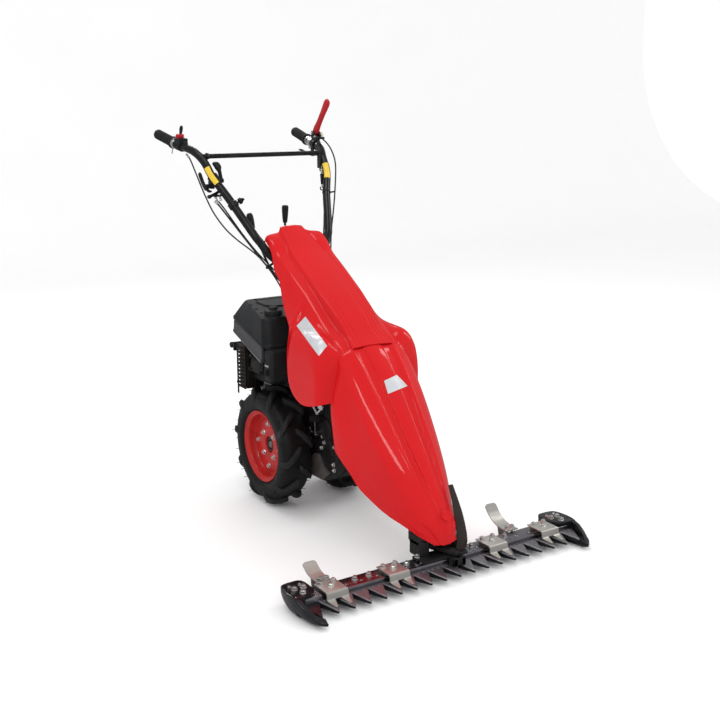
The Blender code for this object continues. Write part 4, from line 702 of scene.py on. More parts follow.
channelDepth = [(0.1, 0.0), (0.118, 0.0), (0.136, 0.0045), (0.186, 0.006), (0.314, 0.005), (0.4, 0.003),
    (0.455, 0.0015)]


def makeNoseHood():
    rows = []
    for section in noseSections:
        c, k, s, m, e = [Vector(p) for p in section]
        inward = Vector((0, 0.6, -0.8)) * valueAt(channelDepth, c.y)
        lift = Vector((0, -0.001, 0.0016))
        ridge = k + Vector((0.001, -0.0008, 0.0018))
        half = [c + lift, c.lerp(k, 0.28) + lift, c.lerp(k, 0.38) + lift * 0.7, c.lerp(k, 0.44) + inward,
            c.lerp(k, 0.62) + inward, c.lerp(k, 0.76) + inward, c.lerp(k, 0.83), c.lerp(k, 0.9) + lift * 0.8,
            ridge, k.lerp(s, 0.12) + Vector((0.002, -0.001, 0.002)),
            k.lerp(s, 0.5) + Vector((0.005, -0.0015, 0.005)),
            k.lerp(s, 0.88) + Vector((0.002, -0.0004, 0.002)), s, s.lerp(m, 0.12), s.lerp(m, 0.5), m,
            m.lerp(e, 0.5), m.lerp(e, 0.93), e, e + Vector((-0.003, 0.0006, -0.0012))]
        rows.append([tuple(p) for p in bothSides([tuple(p) for p in half])])
    bottom = [(x * 0.97, y + 0.0035, z - 0.001) for x, y, z in rows[0]]
    # The rear edge tucks under the upper hood.
    tuck = [(x * 0.985, y + 0.011, z + 0.0035) for x, y, z in rows[-1]]
    hoodSheet("nose_shell", "nose_hood", [bottom] + rows + [tuck],
        {2: 0.45, 3: 0.35, 6: 0.3, 8: 0.55, 12: 0.25, 18: 0.7}, {1: (0.5, 0)}, 3)


def makeNosePlug():
    centre, way = Vector((0, 0.0762, 0.1798)), Vector((0, -0.857, 0.515))
    steps = [(-0.012, 0.0058), (0.0008, 0.006), (0.0009, 0.015), (0.0022, 0.016), (0.0044, 0.0158),
        (0.0056, 0.0143), (0.0058, 0.012), (0.0048, 0.0108), (0.0046, 0.0001)]
    settle("nose_button", lathe(centre, way, steps, 48), "hoodRed", "nose_plug")


hoodTables = {
    "spineTop": [(0.456, 0.607), (0.5, 0.633), (0.557, 0.68), (0.631, 0.729), (0.742, 0.792), (0.855, 0.856),
        (0.96, 0.925)],
    "spineHalf": [(0.456, 0.07), (0.5, 0.058), (0.557, 0.061), (0.631, 0.064), (0.742, 0.064),
        (0.855, 0.059), (0.95, 0.042)],
    "shoulderTop": [(0.456, 0.588), (0.5, 0.62), (0.569, 0.652), (0.618, 0.69), (0.685, 0.739),
        (0.791, 0.804), (0.867, 0.847), (0.9, 0.884), (0.926, 0.899), (0.94, 0.903)],
    "edgeHalf": [(0.456, 0.126), (0.466, 0.17), (0.48, 0.188), (0.655, 0.188), (0.664, 0.186),
        (0.677, 0.168), (0.708, 0.155), (0.764, 0.14), (0.797, 0.13), (0.812, 0.125), (0.863, 0.118),
        (0.885, 0.113), (0.933, 0.111)],
    "edgeLow": [(0.456, 0.447), (0.48, 0.437), (0.547, 0.418), (0.6, 0.42), (0.64, 0.446), (0.655, 0.47),
        (0.664, 0.56), (0.677, 0.641), (0.708, 0.651), (0.764, 0.685), (0.797, 0.732), (0.812, 0.768),
        (0.863, 0.79), (0.885, 0.85), (0.933, 0.884)],
    "cheekReach": [(0.456, 0.0), (0.466, 0.62), (0.48, 0.95), (0.495, 1.0), (0.645, 1.0), (0.655, 0.93),
        (0.664, 0.7), (0.677, 0.0)],
    "cheekTop": [(0.456, 0.565), (0.466, 0.585), (0.48, 0.608), (0.497, 0.632), (0.512, 0.641),
        (0.677, 0.646)],
    "flute": [(0.456, 0.0), (0.475, 0.0016), (0.55, 0.0022), (0.62, 0.0006), (0.7, 0.0)],
    "step": [(0.456, 0.003), (0.5, 0.0045), (0.6, 0.006), (0.9, 0.0065)],
}
hoodStations = (0.4554, 0.46, 0.468, 0.477, 0.487, 0.503, 0.525, 0.557, 0.59, 0.625, 0.648, 0.657, 0.664,
    0.67, 0.677, 0.692, 0.708, 0.75, 0.785, 0.8, 0.815, 0.84, 0.863, 0.88, 0.893, 0.91, 0.926, 0.936)


def makeUpperHood():
    rows = []
    for y in hoodStations:
        top, crest, sh, wide, low, reach, head, flute, step = (valueAt(row, y) for row in hoodTables.values())
        tipped, edge = Vector((0.108, y, sh - 0.008)), Vector((wide, y, low))
        gutter = min(top - step, sh + 0.003)
        half = [(0, y, top + 0.0035), (crest * 0.4, y, top + 0.003), (crest * 0.55, y, top + 0.002 + flute),
            (crest * 0.65, y, top + 0.0015 - flute), (crest * 0.75, y, top + 0.001 + flute),
            (crest * 0.86, y, top + 0.0005 - flute), (crest - 0.0035, y, top + 0.0006),
            (crest, y, top - 0.0004), (crest + 0.0035, y, top - step * 0.75), (crest + 0.008, y, gutter),
            (crest + 0.016, y, sh + 0.0024), (0.092, y, sh + 0.002), (0.1035, y, sh - 0.0024)]
        cheek = [Vector((0.136, y, head)), Vector((0.166, y, head - 0.012)), Vector((0.183, y, head - 0.042)),
            Vector((0.188, y, head - 0.092))]
        half.append(tuple(tipped))
        for k, full in enumerate(cheek):
            half.append(tuple(tipped.lerp(edge, (k + 1) / 5.5).lerp(full, reach)))
        last = Vector(half[-1])
        half += [tuple(last.lerp(edge, 0.5)), tuple(last.lerp(edge, 0.86) + Vector((0.0014 * reach, 0, 0))),
            tuple(edge), (edge.x - 0.003, y, edge.z - 0.001)]
        rows.append([(x + max(0, x - 0.11) * 0.055, y, z) for x, y, z in bothSides(half)])
    # The spine's rear end stands further back than the shoulders, and both have a rolled lip.
    spine = hoodTables["spineTop"]
    for back, drop in ((0.0, 0.0), (0.0036, 0.003), (0.004, 0.012)):
        rear = []
        for x, y, z in rows[len(hoodStations) - 1]:
            reach = max(0.0, 1 - max(0.0, abs(x) - 0.042) / 0.022)
            far = 0.022 * reach
            lift = valueAt(spine, y + far) - valueAt(spine, y) if abs(x) < 0.075 else 0.0
            rear.append((x * (1 - 0.06 * reach), y + far + back, z + lift - drop))
        rows.append(rear)
    rows.pop(len(hoodStations) - 1)
    hoodSheet("upper_shell", "upper_hood", rows, {7: 0.55, 8: 0.25, 9: 0.35, 10: 0.35, 12: 0.25, 13: 0.45,
        21: 0.7}, {4: (0.5, 14), 13: (0.35, 14), 27: (0.55, 0)}, 2)


makeNoseHood()
makeNosePlug()
makeUpperHood()
print("hoods made")


# Handlebar, grips and what is clamped on them
handleBits = {
    "route": [(0.03, 0.9, 0.8), (0.062, 0.902, 0.806), (0.096, 0.912, 0.829), (0.116, 0.924, 0.856),
        (0.128, 0.936, 0.878), (0.143, 0.949, 0.903), (0.187, 1.033, 1.013), (0.221, 1.087, 1.086),
        (0.231, 1.129, 1.135), (0.247, 1.178, 1.169), (0.262, 1.27, 1.188), (0.2745, 1.396, 1.2172)],
    "tiltAxis": (0.9, 0.8), "tube": 0.0135, "crossbar": (1.137, 1.153, 0.2285), "crossTube": 0.008,
    "gripStart": (0.2645, 1.297, 1.194), "gripEnd": (0.276, 1.41, 1.2205), "gripRibs": 17,
}


def sided(point, side):
    return Vector((side * point[0], point[1], point[2]))


def routeOf(side, step=0.01):
    return curveOf([sided(p, side) for p in handleBits["route"]], step)


def nearRoute(side, y):
    # The tube's middle point at this y, and the way it runs there.
    line = routeOf(side, 0.004)
    i = min(range(1, len(line) - 1), key=lambda k: abs(line[k].y - y) + (0.2 if line[k].z < 0.88 else 0))
    return line[i], (line[i + 1] - line[i - 1]).normalized()


def makeHandlebar():
    y, z = handleBits["tiltAxis"]
    parts = []
    for side in (1, -1):
        parts.append(pipe(routeOf(side), handleBits["tube"], 28))
        ear = [(0.02, 0.012), (0.02, 0.0195), (0.0212, 0.021), (0.0405, 0.021), (0.042, 0.0195),
            (0.042, 0.009)]
        parts.append(lathe((0, y, z), (side, 0, 0), ear, 40))
    parts.append(pipe([(-0.03, y, z), (0.03, y, z)], 0.008, 20))
    bolt = [((side * 0.042, y, z), (side, 0, 0)) for side in (1, -1)]
    y, z, half = handleBits["crossbar"]
    parts.append(pipe([(-half, y, z), (half, y, z)], handleBits["crossTube"], 24))
    for side in (1, -1):
        bead = [(-0.005, 0.0082), (-0.0035, 0.0098), (0.0, 0.0106), (0.004, 0.0122), (0.006, 0.011)]
        parts.append(lathe((side * (half - 0.0145), y, z), (side, 0, 0), bead, 24))
    settle("handle_tubes", parts, "tubeBlack", "handlebar", angle=40)
    nuts("tilt_bolts", bolt, (0.016, 0.008, 0.005, 0.004), "handlebar")


def makeGrip(name, side):
    start, end = sided(handleBits["gripStart"], side), sided(handleBits["gripEnd"], side)
    way = (end - start).normalized()
    reach = (end - start).length
    r = 0.0162
    steps = [(0.0, 0.0142), (0.0, 0.02), (0.0012, 0.0212), (0.005, 0.0212), (0.0064, 0.02), (0.0072, r),
        (reach * 0.5, r - 0.0006), (reach - 0.012, r), (reach - 0.011, 0.0174), (reach - 0.004, 0.0176),
        (reach - 0.0012, 0.0166), (reach, 0.014), (reach, 0.002)]
    settle("grip_sleeve_" + name, lathe(start, way, steps, 56), "gripRubber", "grip_" + name, angle=40)
    rib = [(-0.0016, r - 0.001), (-0.0013, 0.017), (-0.0006, 0.0175), (0.0006, 0.0175), (0.0013, 0.017),
        (0.0016, r - 0.001)]
    count = handleBits["gripRibs"]
    step = way * ((reach - 0.026) / (count - 1))
    grow("grip_ribs_" + name, rowTree, meshOf(lathe((0, 0, 0), way, rib, 48)),
        {"Count": count, "Step": tuple(step)}, "gripRubber", body="handlebar", shift=start + 0.0115 * way,
        angle=50)
    collar = [(-0.0165, 0.0137), (-0.0165, 0.015), (-0.015, 0.016), (-0.003, 0.016), (-0.0012, 0.015),
        (-0.0012, 0.0137)]
    settle("grip_collar_" + name, lathe(start, way, collar, 40, loop=True), "zinc", body="handlebar")


def wrapPlate(name, side, y0, y1, facing, spread, radius=0.014):
    # A blank plate that wraps round the tube's visible side.
    rows = []
    for k in range(9):
        at, way = nearRoute(side, y0 + (y1 - y0) * k / 8)
        out = Vector(facing)
        out = (out - out.dot(way) * way).normalized()
        over = way.cross(out)
        ring = []
        for r, order in ((radius, range(9)), (radius - 0.0004, range(8, -1, -1))):
            for i in order:
                a = math.radians(spread) * (i / 8 - 0.5)
                ring.append(at + r * (math.cos(a) * out + math.sin(a) * over))
        rows.append(ring)
    settle(name, skin(rows), "plateYellow", body="handlebar", angle=60)


def tubeClip(at, way, width, ring):
    band = [(-width / 2, 0.0137), (-width / 2, ring - 0.001), (-width / 2 + 0.001, ring),
        (width / 2 - 0.001, ring), (width / 2, ring - 0.001), (width / 2, 0.0137)]
    return lathe(at, way, band, 36, loop=True)


def near(at, steps):
    return [at + Vector(step) for step in steps]


def fuller(value, power):
    # Makes a round section squarer.
    return math.copysign(abs(value) ** power, value)


def leverShape(path, halves, thick, across, count=20):
    # A moulded lever: oval rings along a path, half widths in the plane and thickness across.
    over = Vector(across)
    rings = []
    for i, (point, half, deep) in enumerate(zip(path, halves, thick)):
        flat = wayAt(path, i).cross(over).normalized()
        rings.append([point + flat * half * fuller(math.cos(a), 0.75) + over * deep * fuller(math.sin(a),
            0.75) for a in turnsOf(count)])
    return skin(rings)


redLever = {
    "pivot": (0.25404, 1.22241, 1.21869),
    "shape": [(-0.0095, 0.0038, 0.005), (-0.0075, 0.0078, 0.0078), (0.0, 0.011, 0.0092),
        (0.012, 0.013, 0.0095), (0.024, 0.014, 0.0088), (0.036, 0.0125, 0.0078), (0.06, 0.0115, 0.0072),
        (0.09, 0.0121, 0.0072), (0.118, 0.0138, 0.0076), (0.134, 0.0146, 0.0078), (0.143, 0.0132, 0.007),
        (0.1482, 0.0096, 0.0054), (0.15, 0.005, 0.003)],
}


def makeLeftControls():
    at = Vector((0.25404, 1.21841, 1.17869))
    way = nearRoute(1, at.y)[1]
    pivot = Vector(redLever["pivot"])
    low = Vector((0.25404, 1.22641, 1.14569))
    run = Vector((0, -0.097, 0.12)).normalized()
    reaches, halves, thick = zip(*redLever["shape"])
    lever = leverShape([pivot + reach * run for reach in reaches], halves, thick, (1, 0, 0), 28)
    rib = leverShape([pivot + d * run + Vector((0.0058, 0, 0)) for d in (0.03, 0.034, 0.08, 0.126, 0.13)],
        [0.0006, 0.004, 0.0042, 0.0056, 0.0008], [0.0004, 0.0012, 0.0012, 0.0012, 0.0004], (1, 0, 0), 12)
    settle("red_club", [lever, rib], "leverRed", "red_lever", angle=45)
    nuts("red_pivot", [(pivot + Vector((0.0105, 0, 0)), (1, 0, 0)),
        (pivot + Vector((-0.0105, 0, 0)), (-1, 0, 0))], (0.009, 0.005, 0.0028, 0.002), "handlebar")
    parts = [tubeClip(at, way, 0.02, 0.018)]
    for x in (at.x - 0.01, at.x + 0.01):
        for low0, high0, y0, y1 in ((at.z + 0.008, pivot.z + 0.008, at.y - 0.012, at.y + 0.014),
                (low.z - 0.008, at.z - 0.008, at.y - 0.004, at.y + 0.018)):
            parts.append(roundBox((x - 0.0016, y0, low0), (x + 0.0016, y1, high0), 0.0012, 2))
    parts.append(crossPin(pivot, 0.0125, 0.003, 16))
    parts.append(crossPin(low, 0.0125, 0.003, 16))
    settle("left_bracket_plates", parts, "tubeBlack", "left_lever_bracket")
    path = curveOf(near(low, [(0, -0.006, -0.002), (0, 0.012, -0.006), (0, 0.05, -0.001), (0, 0.1, 0.01),
        (0, 0.113, 0.0095)]), 0.006)
    count = len(path)
    halves = [0.0036 * min(1, 0.45 + 0.55 * min(i, count - 1 - i) / 1.5) for i in range(count)]
    squeeze = leverShape(path, halves, [0.0062 * min(1, 0.5 + 0.5 * min(i, count - 1 - i))
        for i in range(count)], (1, 0, 0))
    hub = crossPin(low, 0.0055, 0.0065, 24)
    settle("left_squeeze", [squeeze, hub], "tubeBlack", "left_squeeze_lever", angle=50)
    # Cream cam beside the red lever, and the black lock plate under it
    cam = [(0.0, 0.0085), (0.0012, 0.0098), (0.0075, 0.0098), (0.009, 0.008), (0.009, 0.001)]
    cream = [lathe((0.2655, 1.206, 1.2145), (1, 0, 0), cam, 32),
        roundBox((0.2655, 1.193, 1.205), (0.273, 1.212, 1.215), 0.0016)]
    settle("cream_cam", cream, "leverCream", body="handlebar")
    lock = [roundBox((0.2405, 1.18, 1.1985), (0.27, 1.208, 1.206), 0.0018),
        pipe([(0.243, 1.188, 1.196), (0.2425, 1.2078, 1.206)], 0.0042, 20),
        leverShape([Vector((0.244, 1.182, 1.196)), Vector((0.238, 1.174, 1.176)),
        Vector((0.233, 1.156, 1.16))], [0.005, 0.0055, 0.004], [0.003, 0.003, 0.0025], (1, 0, 0))]
    settle("lock_plate", lock, "castBlack", body="handlebar")
    # Chrome saddle and its two screws on the tube, seen between the grip and the bracket
    saddle, saddleWay = nearRoute(1, 1.256)
    settle("chrome_saddle", tubeClip(saddle, saddleWay, 0.026, 0.0172), "zinc", body="handlebar")
    nuts("saddle_screws", [(saddle + Vector((-0.004, -0.006 + 0.014 * k, -0.0165)), (-0.2, -0.4, -1))
        for k in range(2)], (0.008, 0.005, 0.0022, 0.003), "handlebar")
    # Black plate on the tube's inner side, with the cable adjuster and its hook
    plate = [roundBox((0.208, 1.112, 1.1), (0.215, 1.132, 1.15), 0.002),
        roundBox((0.206, 1.095, 1.09), (0.216, 1.114, 1.104), 0.002),
        pipe([(0.213, 1.125, 1.135), (0.23, 1.128, 1.135)], 0.006, 20),
        lathe((0.204, 1.096, 1.096), (-0.04, -0.2, -1),
        [(0.014, 0.0046), (0.016, 0.0056), (0.048, 0.0056), (0.052, 0.004)], 24)]
    settle("lock_carrier", plate, "tubeBlack", body="handlebar")
    thread = [(0.0, 0.003), (0.0, 0.0052), (0.004, 0.0052), (0.0042, 0.0032), (0.013, 0.0032),
        (0.0132, 0.002)]
    settle("brake_adjuster", [lathe((0.2045, 1.0965, 1.099), (-0.04, -0.2, -1), thread, 20),
        lathe((0.2015, 1.0835, 1.044), (-0.06, -0.3, -1), thread, 20)], "zinc", body="handlebar")
    hook = curveOf([(0.196, 1.085, 1.038), (0.193, 1.085, 1.03), (0.199, 1.082, 1.026), (0.205, 1.08, 1.03),
        (0.208, 1.079, 1.024)], 0.002)
    settle("cable_hook", pipe(hook, 0.0022, 12), "tubeBlack", body="handlebar")
    at, way = nearRoute(1, 1.04)
    tie = [tubeClip(at, way, 0.006, 0.0152), pipe([at + Vector((0.01, -0.004, 0)),
        at + Vector((0.026, -0.01, 0.002))], 0.0028, 12)]
    settle("left_tie", tie, "cableBlack", body="handlebar")


def makeRightControls():
    at = Vector((-0.25936, 1.2528, 1.18493))
    way = nearRoute(-1, at.y)[1]
    outline = ((-0.016, -0.022), (0.018, -0.022), (0.018, 0.016), (0.01, 0.024), (-0.012, 0.024),
        (-0.016, 0.016))
    box = rounded(slab([at + Vector((x, y, 0.004)) for x, y in outline], (0, 0, 0.021)), 0.003, 3)
    lump = lathe(at + Vector((0.004, -0.03, 0.008)), (0.1, 0.3, 1),
        [(-0.008, 0.008), (0.0, 0.0095), (0.005, 0.009), (0.008, 0.007), (0.0092, 0.003)], 28)
    settle("switch_box", [tubeClip(at, way, 0.03, 0.0178), box, lump], "coverBlack", "switch_housing")
    nuts("switch_screws", [(at + Vector((0.008, -0.014, 0.0245)), (0, 0, 1)),
        (at + Vector((-0.008, 0.016, 0.0245)), (0, 0, 1))], (0.006, 0.0028, 0.0016, 0.0006), "handlebar")
    knob = at + Vector((0.001, 0.006, 0.0253))
    petals = [(a, 0.014 + 0.0011 * math.cos(8 * a)) for a in turnsOf(48)]
    rings = [[knob + Vector((r * share * math.cos(a), r * share * math.sin(a), h)) for a, r in petals]
        for h, share in ((0.0, 0.9), (0.0015, 0.98), (0.009, 1.0), (0.0125, 0.93), (0.014, 0.78),
        (0.0142, 0.4))]
    settle("throttle_wheel", skin(rings), "leverRed", "throttle_knob", angle=45)
    stick = [knob + Vector((0.006, -0.004, 0.032)) * (0.3 + 0.7 * k / 6) + Vector((0, 0, 0.01)) * (k / 6)
        for k in range(7)]
    settle("throttle_stick", leverShape(stick, [0.004, 0.0044, 0.0052, 0.0058, 0.006, 0.0056, 0.003],
        [0.003, 0.0034, 0.0042, 0.0048, 0.005, 0.0046, 0.002], (0.55, 0.83, 0)), "coverBlack",
        "throttle_knob", slotName="plastic", angle=50)
    white = [pipe(curveOf(near(at, [(-0.012, 0.02, 0.026), (-0.014, 0.036, 0.02), (-0.012, 0.046, 0.008),
        (-0.01, 0.048, -0.014), (-0.012, 0.05, -0.028)]), 0.004), 0.002, 12)]
    settle("stop_wire", white, "zinc", body="handlebar")
    saddle, saddleWay = nearRoute(-1, 1.286)
    settle("right_saddle", tubeClip(saddle, saddleWay, 0.016, 0.017), "zinc", body="handlebar")

    at = Vector((-0.21833, 1.08323, 1.08088))
    way = nearRoute(-1, at.y)[1]
    pivot = Vector((-0.23833, 1.09523, 1.05688))
    paddle = Vector((-0.18933, 1.08723, 1.07488))
    parts = [tubeClip(at, way, 0.026, 0.018), roundBox((at.x - 0.012, at.y - 0.004, at.z - 0.032),
        (at.x, at.y + 0.022, at.z - 0.006), 0.0016), pipe([pivot - Vector((0.0075, 0, 0)),
        Vector((at.x - 0.005, pivot.y, pivot.z))], 0.003, 16),
        pipe([Vector((at.x + 0.005, paddle.y, paddle.z)), paddle + Vector((0.008, 0, 0))], 0.003, 16)]
    settle("perch_clamp", parts, "tubeBlack", "right_lever_perch")
    path = curveOf(near(pivot, [(0, -0.028, -0.014), (0, -0.014, -0.016), (0, 0.002, -0.01),
        (0, 0.014, -0.008), (0, 0.034, 0.01), (0, 0.052, 0.032), (0, 0.058, 0.042)]), 0.005)
    count = len(path)
    halves = [(0.0036 + 0.002 * (i > 6)) * min(1.0, 0.5 + 0.5 * min(i, count - 1 - i)) for i in range(count)]
    thick = [0.006 * min(1.0, 0.5 + 0.5 * min(i, count - 1 - i)) for i in range(count)]
    clutch = [leverShape(path, halves, thick, (1, 0, 0)), crossPin(pivot, 0.005, 0.0075, 24)]
    settle("clutch_squeeze", clutch, "tubeBlack", "clutch_lever", angle=50)
    path = curveOf(near(paddle, [(0, 0, 0), (0, 0.01, 0.022), (0, 0.018, 0.036), (0, 0.03, 0.047),
        (0, 0.044, 0.0545)]), 0.004)
    count = len(path)
    halves = [0.0048 + 0.0036 * min(1, i / 6) if i < count - 2 else 0.006 for i in range(count)]
    thick = [0.0052 + 0.0062 * max(0, min(1, (i - count * 0.45) / 3)) for i in range(count)]
    head = [leverShape(path, halves, thick, (1, 0, 0), 24), crossPin(paddle, 0.0055, 0.008, 24)]
    settle("speed_thumb", head, "coverBlack", "speed_paddle", angle=50)
    # Round-ended stop lever, threaded adjusters and the wing knob lower down the tube
    stop = curveOf([(-0.202, 1.081, 1.04), (-0.218, 1.076, 1.033), (-0.242, 1.074, 1.024)], 0.004)
    settle("stop_lever", [leverShape(stop, [0.005] * (len(stop) - 1) + [0.003],
        [0.004] * (len(stop) - 1) + [0.0024], (0, 1, 0)),
        lathe((-0.242, 1.074, 1.024), (0, 1, 0), [(-0.0046, 0.005), (-0.0036, 0.0064), (0.0036, 0.0064),
        (0.0046, 0.005)], 24)], "tubeBlack", body="handlebar")
    thread = [(0.0, 0.0026), (0.0, 0.005), (0.005, 0.005), (0.0052, 0.0032)]
    thread += [(0.0054 + 0.0014 * k + d, 0.0034 - (0.0005 if d else 0)) for k in range(8)
        for d in (0.0, 0.0007)]
    thread += [(0.017, 0.003), (0.0172, 0.0046), (0.02, 0.0046), (0.0202, 0.002)]
    adjusters = [lathe((-0.2075, 1.07, 1.029), (0.1, -0.45, -0.88), thread, 18),
        lathe((-0.22, 1.073, 1.024), (0.16, -0.45, -0.88), thread, 18)]
    settle("clutch_adjusters", adjusters, "zinc", body="handlebar")
    carrier = roundBox((-0.229, 1.064, 1.024), (-0.198, 1.079, 1.03), 0.0012)
    settle("adjuster_plate", carrier, "tubeBlack", body="handlebar")
    at, way = nearRoute(-1, 1.022)
    wing = [tubeClip(at, way, 0.018, 0.0172), pipe([at, at + Vector((0.03, 0.0, 0.016))], 0.0036, 16),
        lathe(at + Vector((0.02, 0, 0.01)), (0.88, 0, 0.47),
        [(0.0, 0.006), (0.002, 0.0105), (0.01, 0.0105), (0.014, 0.007)], 24)]
    settle("wing_clamp", wing, "tubeBlack", body="handlebar")
    wing = [leverShape(near(at, [(0.03, -0.018, 0.02), (0.03, -0.008, 0.018), (0.03, 0.006, 0.016),
        (0.03, 0.016, 0.02)]), [0.003, 0.0055, 0.0055, 0.003], [0.0022, 0.0036, 0.0036, 0.0022], (1, 0, 0.2))]
    settle("wing_knob", wing, "coverBlack", body="handlebar", angle=50)
    nuts("wing_nut", [(at + Vector((-0.01, 0.012, 0.012)), (-0.3, 0.6, 0.7))], (0.01, 0.006, 0.003, 0.004),
        "handlebar")


# Control cables. Their ends are held.
cableRoutes = {
    "throttle_cable": (0.0025, [(-0.251, 1.224, 1.156), (-0.245, 1.209, 1.139), (-0.24, 1.17, 1.086),
        (-0.24, 1.115, 1.029), (-0.223, 1.085, 0.969), (-0.203, 1.041, 0.919), (-0.182, 0.997, 0.885),
        (-0.162, 0.94, 0.856), (-0.142, 0.898, 0.825), (-0.116, 0.866, 0.775), (-0.103, 0.82, 0.72),
        (-0.102, 0.768, 0.68), (-0.108, 0.756, 0.62), (-0.11, 0.7545, 0.575), (-0.11, 0.7545, 0.554)]),
    "clutch_cable": (0.003, [(-0.224, 1.066, 1.008), (-0.214, 1.045, 0.988), (-0.182, 0.99, 0.92),
        (-0.15, 0.94, 0.855), (-0.125, 0.905, 0.808), (-0.099, 0.86, 0.765), (-0.088, 0.78, 0.702),
        (-0.082, 0.7, 0.655), (-0.061, 0.64, 0.632), (-0.045, 0.62, 0.608), (-0.044, 0.619, 0.595),
        (-0.044, 0.619, 0.5806)]),
    "lock_cable": (0.0025, [(0.2425, 1.2078, 1.206), (0.243, 1.196, 1.2065), (0.25, 1.168, 1.202),
        (0.262, 1.13, 1.17), (0.26, 1.092, 1.118), (0.233, 1.05, 1.04), (0.208, 1.02, 0.97),
        (0.17, 0.975, 0.89), (0.125, 0.905, 0.815), (0.095, 0.85, 0.745), (0.08, 0.76, 0.67),
        (0.062, 0.67, 0.635), (0.044, 0.625, 0.612), (0.042, 0.623, 0.595), (0.042, 0.623, 0.5806)]),
    "brake_cable": (0.0025, [(0.205, 1.096, 1.095), (0.202, 1.085, 1.05), (0.195, 1.06, 1.005),
        (0.164, 1.012, 0.95), (0.134, 0.966, 0.895), (0.09, 0.91, 0.775), (0.062, 0.84, 0.71),
        (0.056, 0.74, 0.65), (0.044, 0.664, 0.612), (0.042, 0.66, 0.595), (0.042, 0.66, 0.5806)]),
}


def makeCables():
    bend = ("machine", "handlebar", (0, 0.86 - middleY, 0.745), (0, 0.99 - middleY, 0.93))
    for name, (radius, route) in cableRoutes.items():
        line = curveOf(route, 0.008)
        settle(name + "_sleeve", pipe(line, radius, 12), "cableBlack", name, bend, angle=60)
        ferrule = [(-0.002, radius + 0.0004), (-0.002, radius + 0.0014), (0.01, radius + 0.0014),
            (0.012, radius + 0.0006)]
        top = lathe(line[0], line[1] - line[0], ferrule, 16)
        settle(name + "_top_ferrule", top, "zinc", body="handlebar")
        foot = lathe(line[-1], line[-2] - line[-1], ferrule, 16)
        settle(name + "_foot_ferrule", foot, "zinc")
    # A second gear cable lies between the clutch cable and the tube.
    line = curveOf([(-0.211, 1.07, 1.008), (-0.198, 1.043, 0.978), (-0.168, 0.988, 0.906),
        (-0.14, 0.944, 0.85), (-0.117, 0.908, 0.812), (-0.0985, 0.862, 0.7745), (-0.086, 0.78, 0.711),
        (-0.078, 0.7, 0.664)], 0.008)
    settle("gear_cable_sleeve", pipe(line, 0.0025, 12), "cableBlack", body=bend, angle=60)


makeHandlebar()
makeGrip("left", 1)
makeGrip("right", -1)
wrapPlate("yellow_plate_left", 1, 1.107, 1.07, (-0.45, -0.85, 0.1), 95)
wrapPlate("yellow_plate_right", -1, 1.107, 1.07, (-0.6, -0.75, 0.3), 58, 0.0186)
makeLeftControls()
makeRightControls()
makeCables()
print("handlebar, levers and cables made")


# Engine, exhaust and column
def cowlFloor(y):
    return 0.556 + 0.09 * (y - 0.77)


def smoothLoop(outline, radius, count=5):
    # A closed (x, y) outline with its corners rounded.
    points = []
    for i, corner in enumerate(outline):
        here = Vector(corner)
        before, after = Vector(outline[i - 1]), Vector(outline[(i + 1) % len(outline)])
        r = min(radius, (before - here).length * 0.45, (after - here).length * 0.45)
        a = here + (before - here).normalized() * r
        b = here + (after - here).normalized() * r
        for k in range(count + 1):
            t = k / count
            points.append((1 - t) ** 2 * a + 2 * t * (1 - t) * here + t * t * b)
    return points


cowlSizes = {
    "wide": [(-0.206, 0.792), (-0.186, 0.77), (0.165, 0.77), (0.185, 0.792), (0.148, 1.146), (0.126, 1.164),
        (-0.112, 1.164), (-0.136, 1.146)],
    "crown": [(-0.196, 0.809), (-0.176, 0.793), (0.148, 0.793), (0.164, 0.809), (0.118, 1.134),
        (0.102, 1.146), (-0.076, 1.146), (-0.093, 1.134)],
    "panel": [(-0.09, 0.985), (-0.066, 0.958), (0.09, 0.958), (0.09, 1.08), (-0.072, 1.08), (-0.084, 1.066)],
    "levels": [(0.0, 0.0, 0.0, 0.003), (0.0, 0.0, 0.0, 0.0), (0.0085, 0.0, 0.0, 0.0),
        (0.01, 0.0, 0.02, 0.001), (0.012, 0.0, 0.06, 0.0018), (0.014, 0.0, 0.12, 0.0008),
        (0.014, 0.45, 0.52, 0.0), (0.014, 0.84, 0.87, 0.0), (0.014, 0.93, 0.96, 0.0004),
        (0.014, 0.975, 1.0, 0.0024), (0.014, 0.996, 1.0, 0.006), (0.014, 1.0, 1.0, 0.011),
        (0.014, 1.0, 1.0, 0.03)],
    "top": 0.652, "cap": (-0.142, 0.83), "screws": [(-0.116, 1.04), (-0.136, 0.962), (-0.152, 0.893)],
}


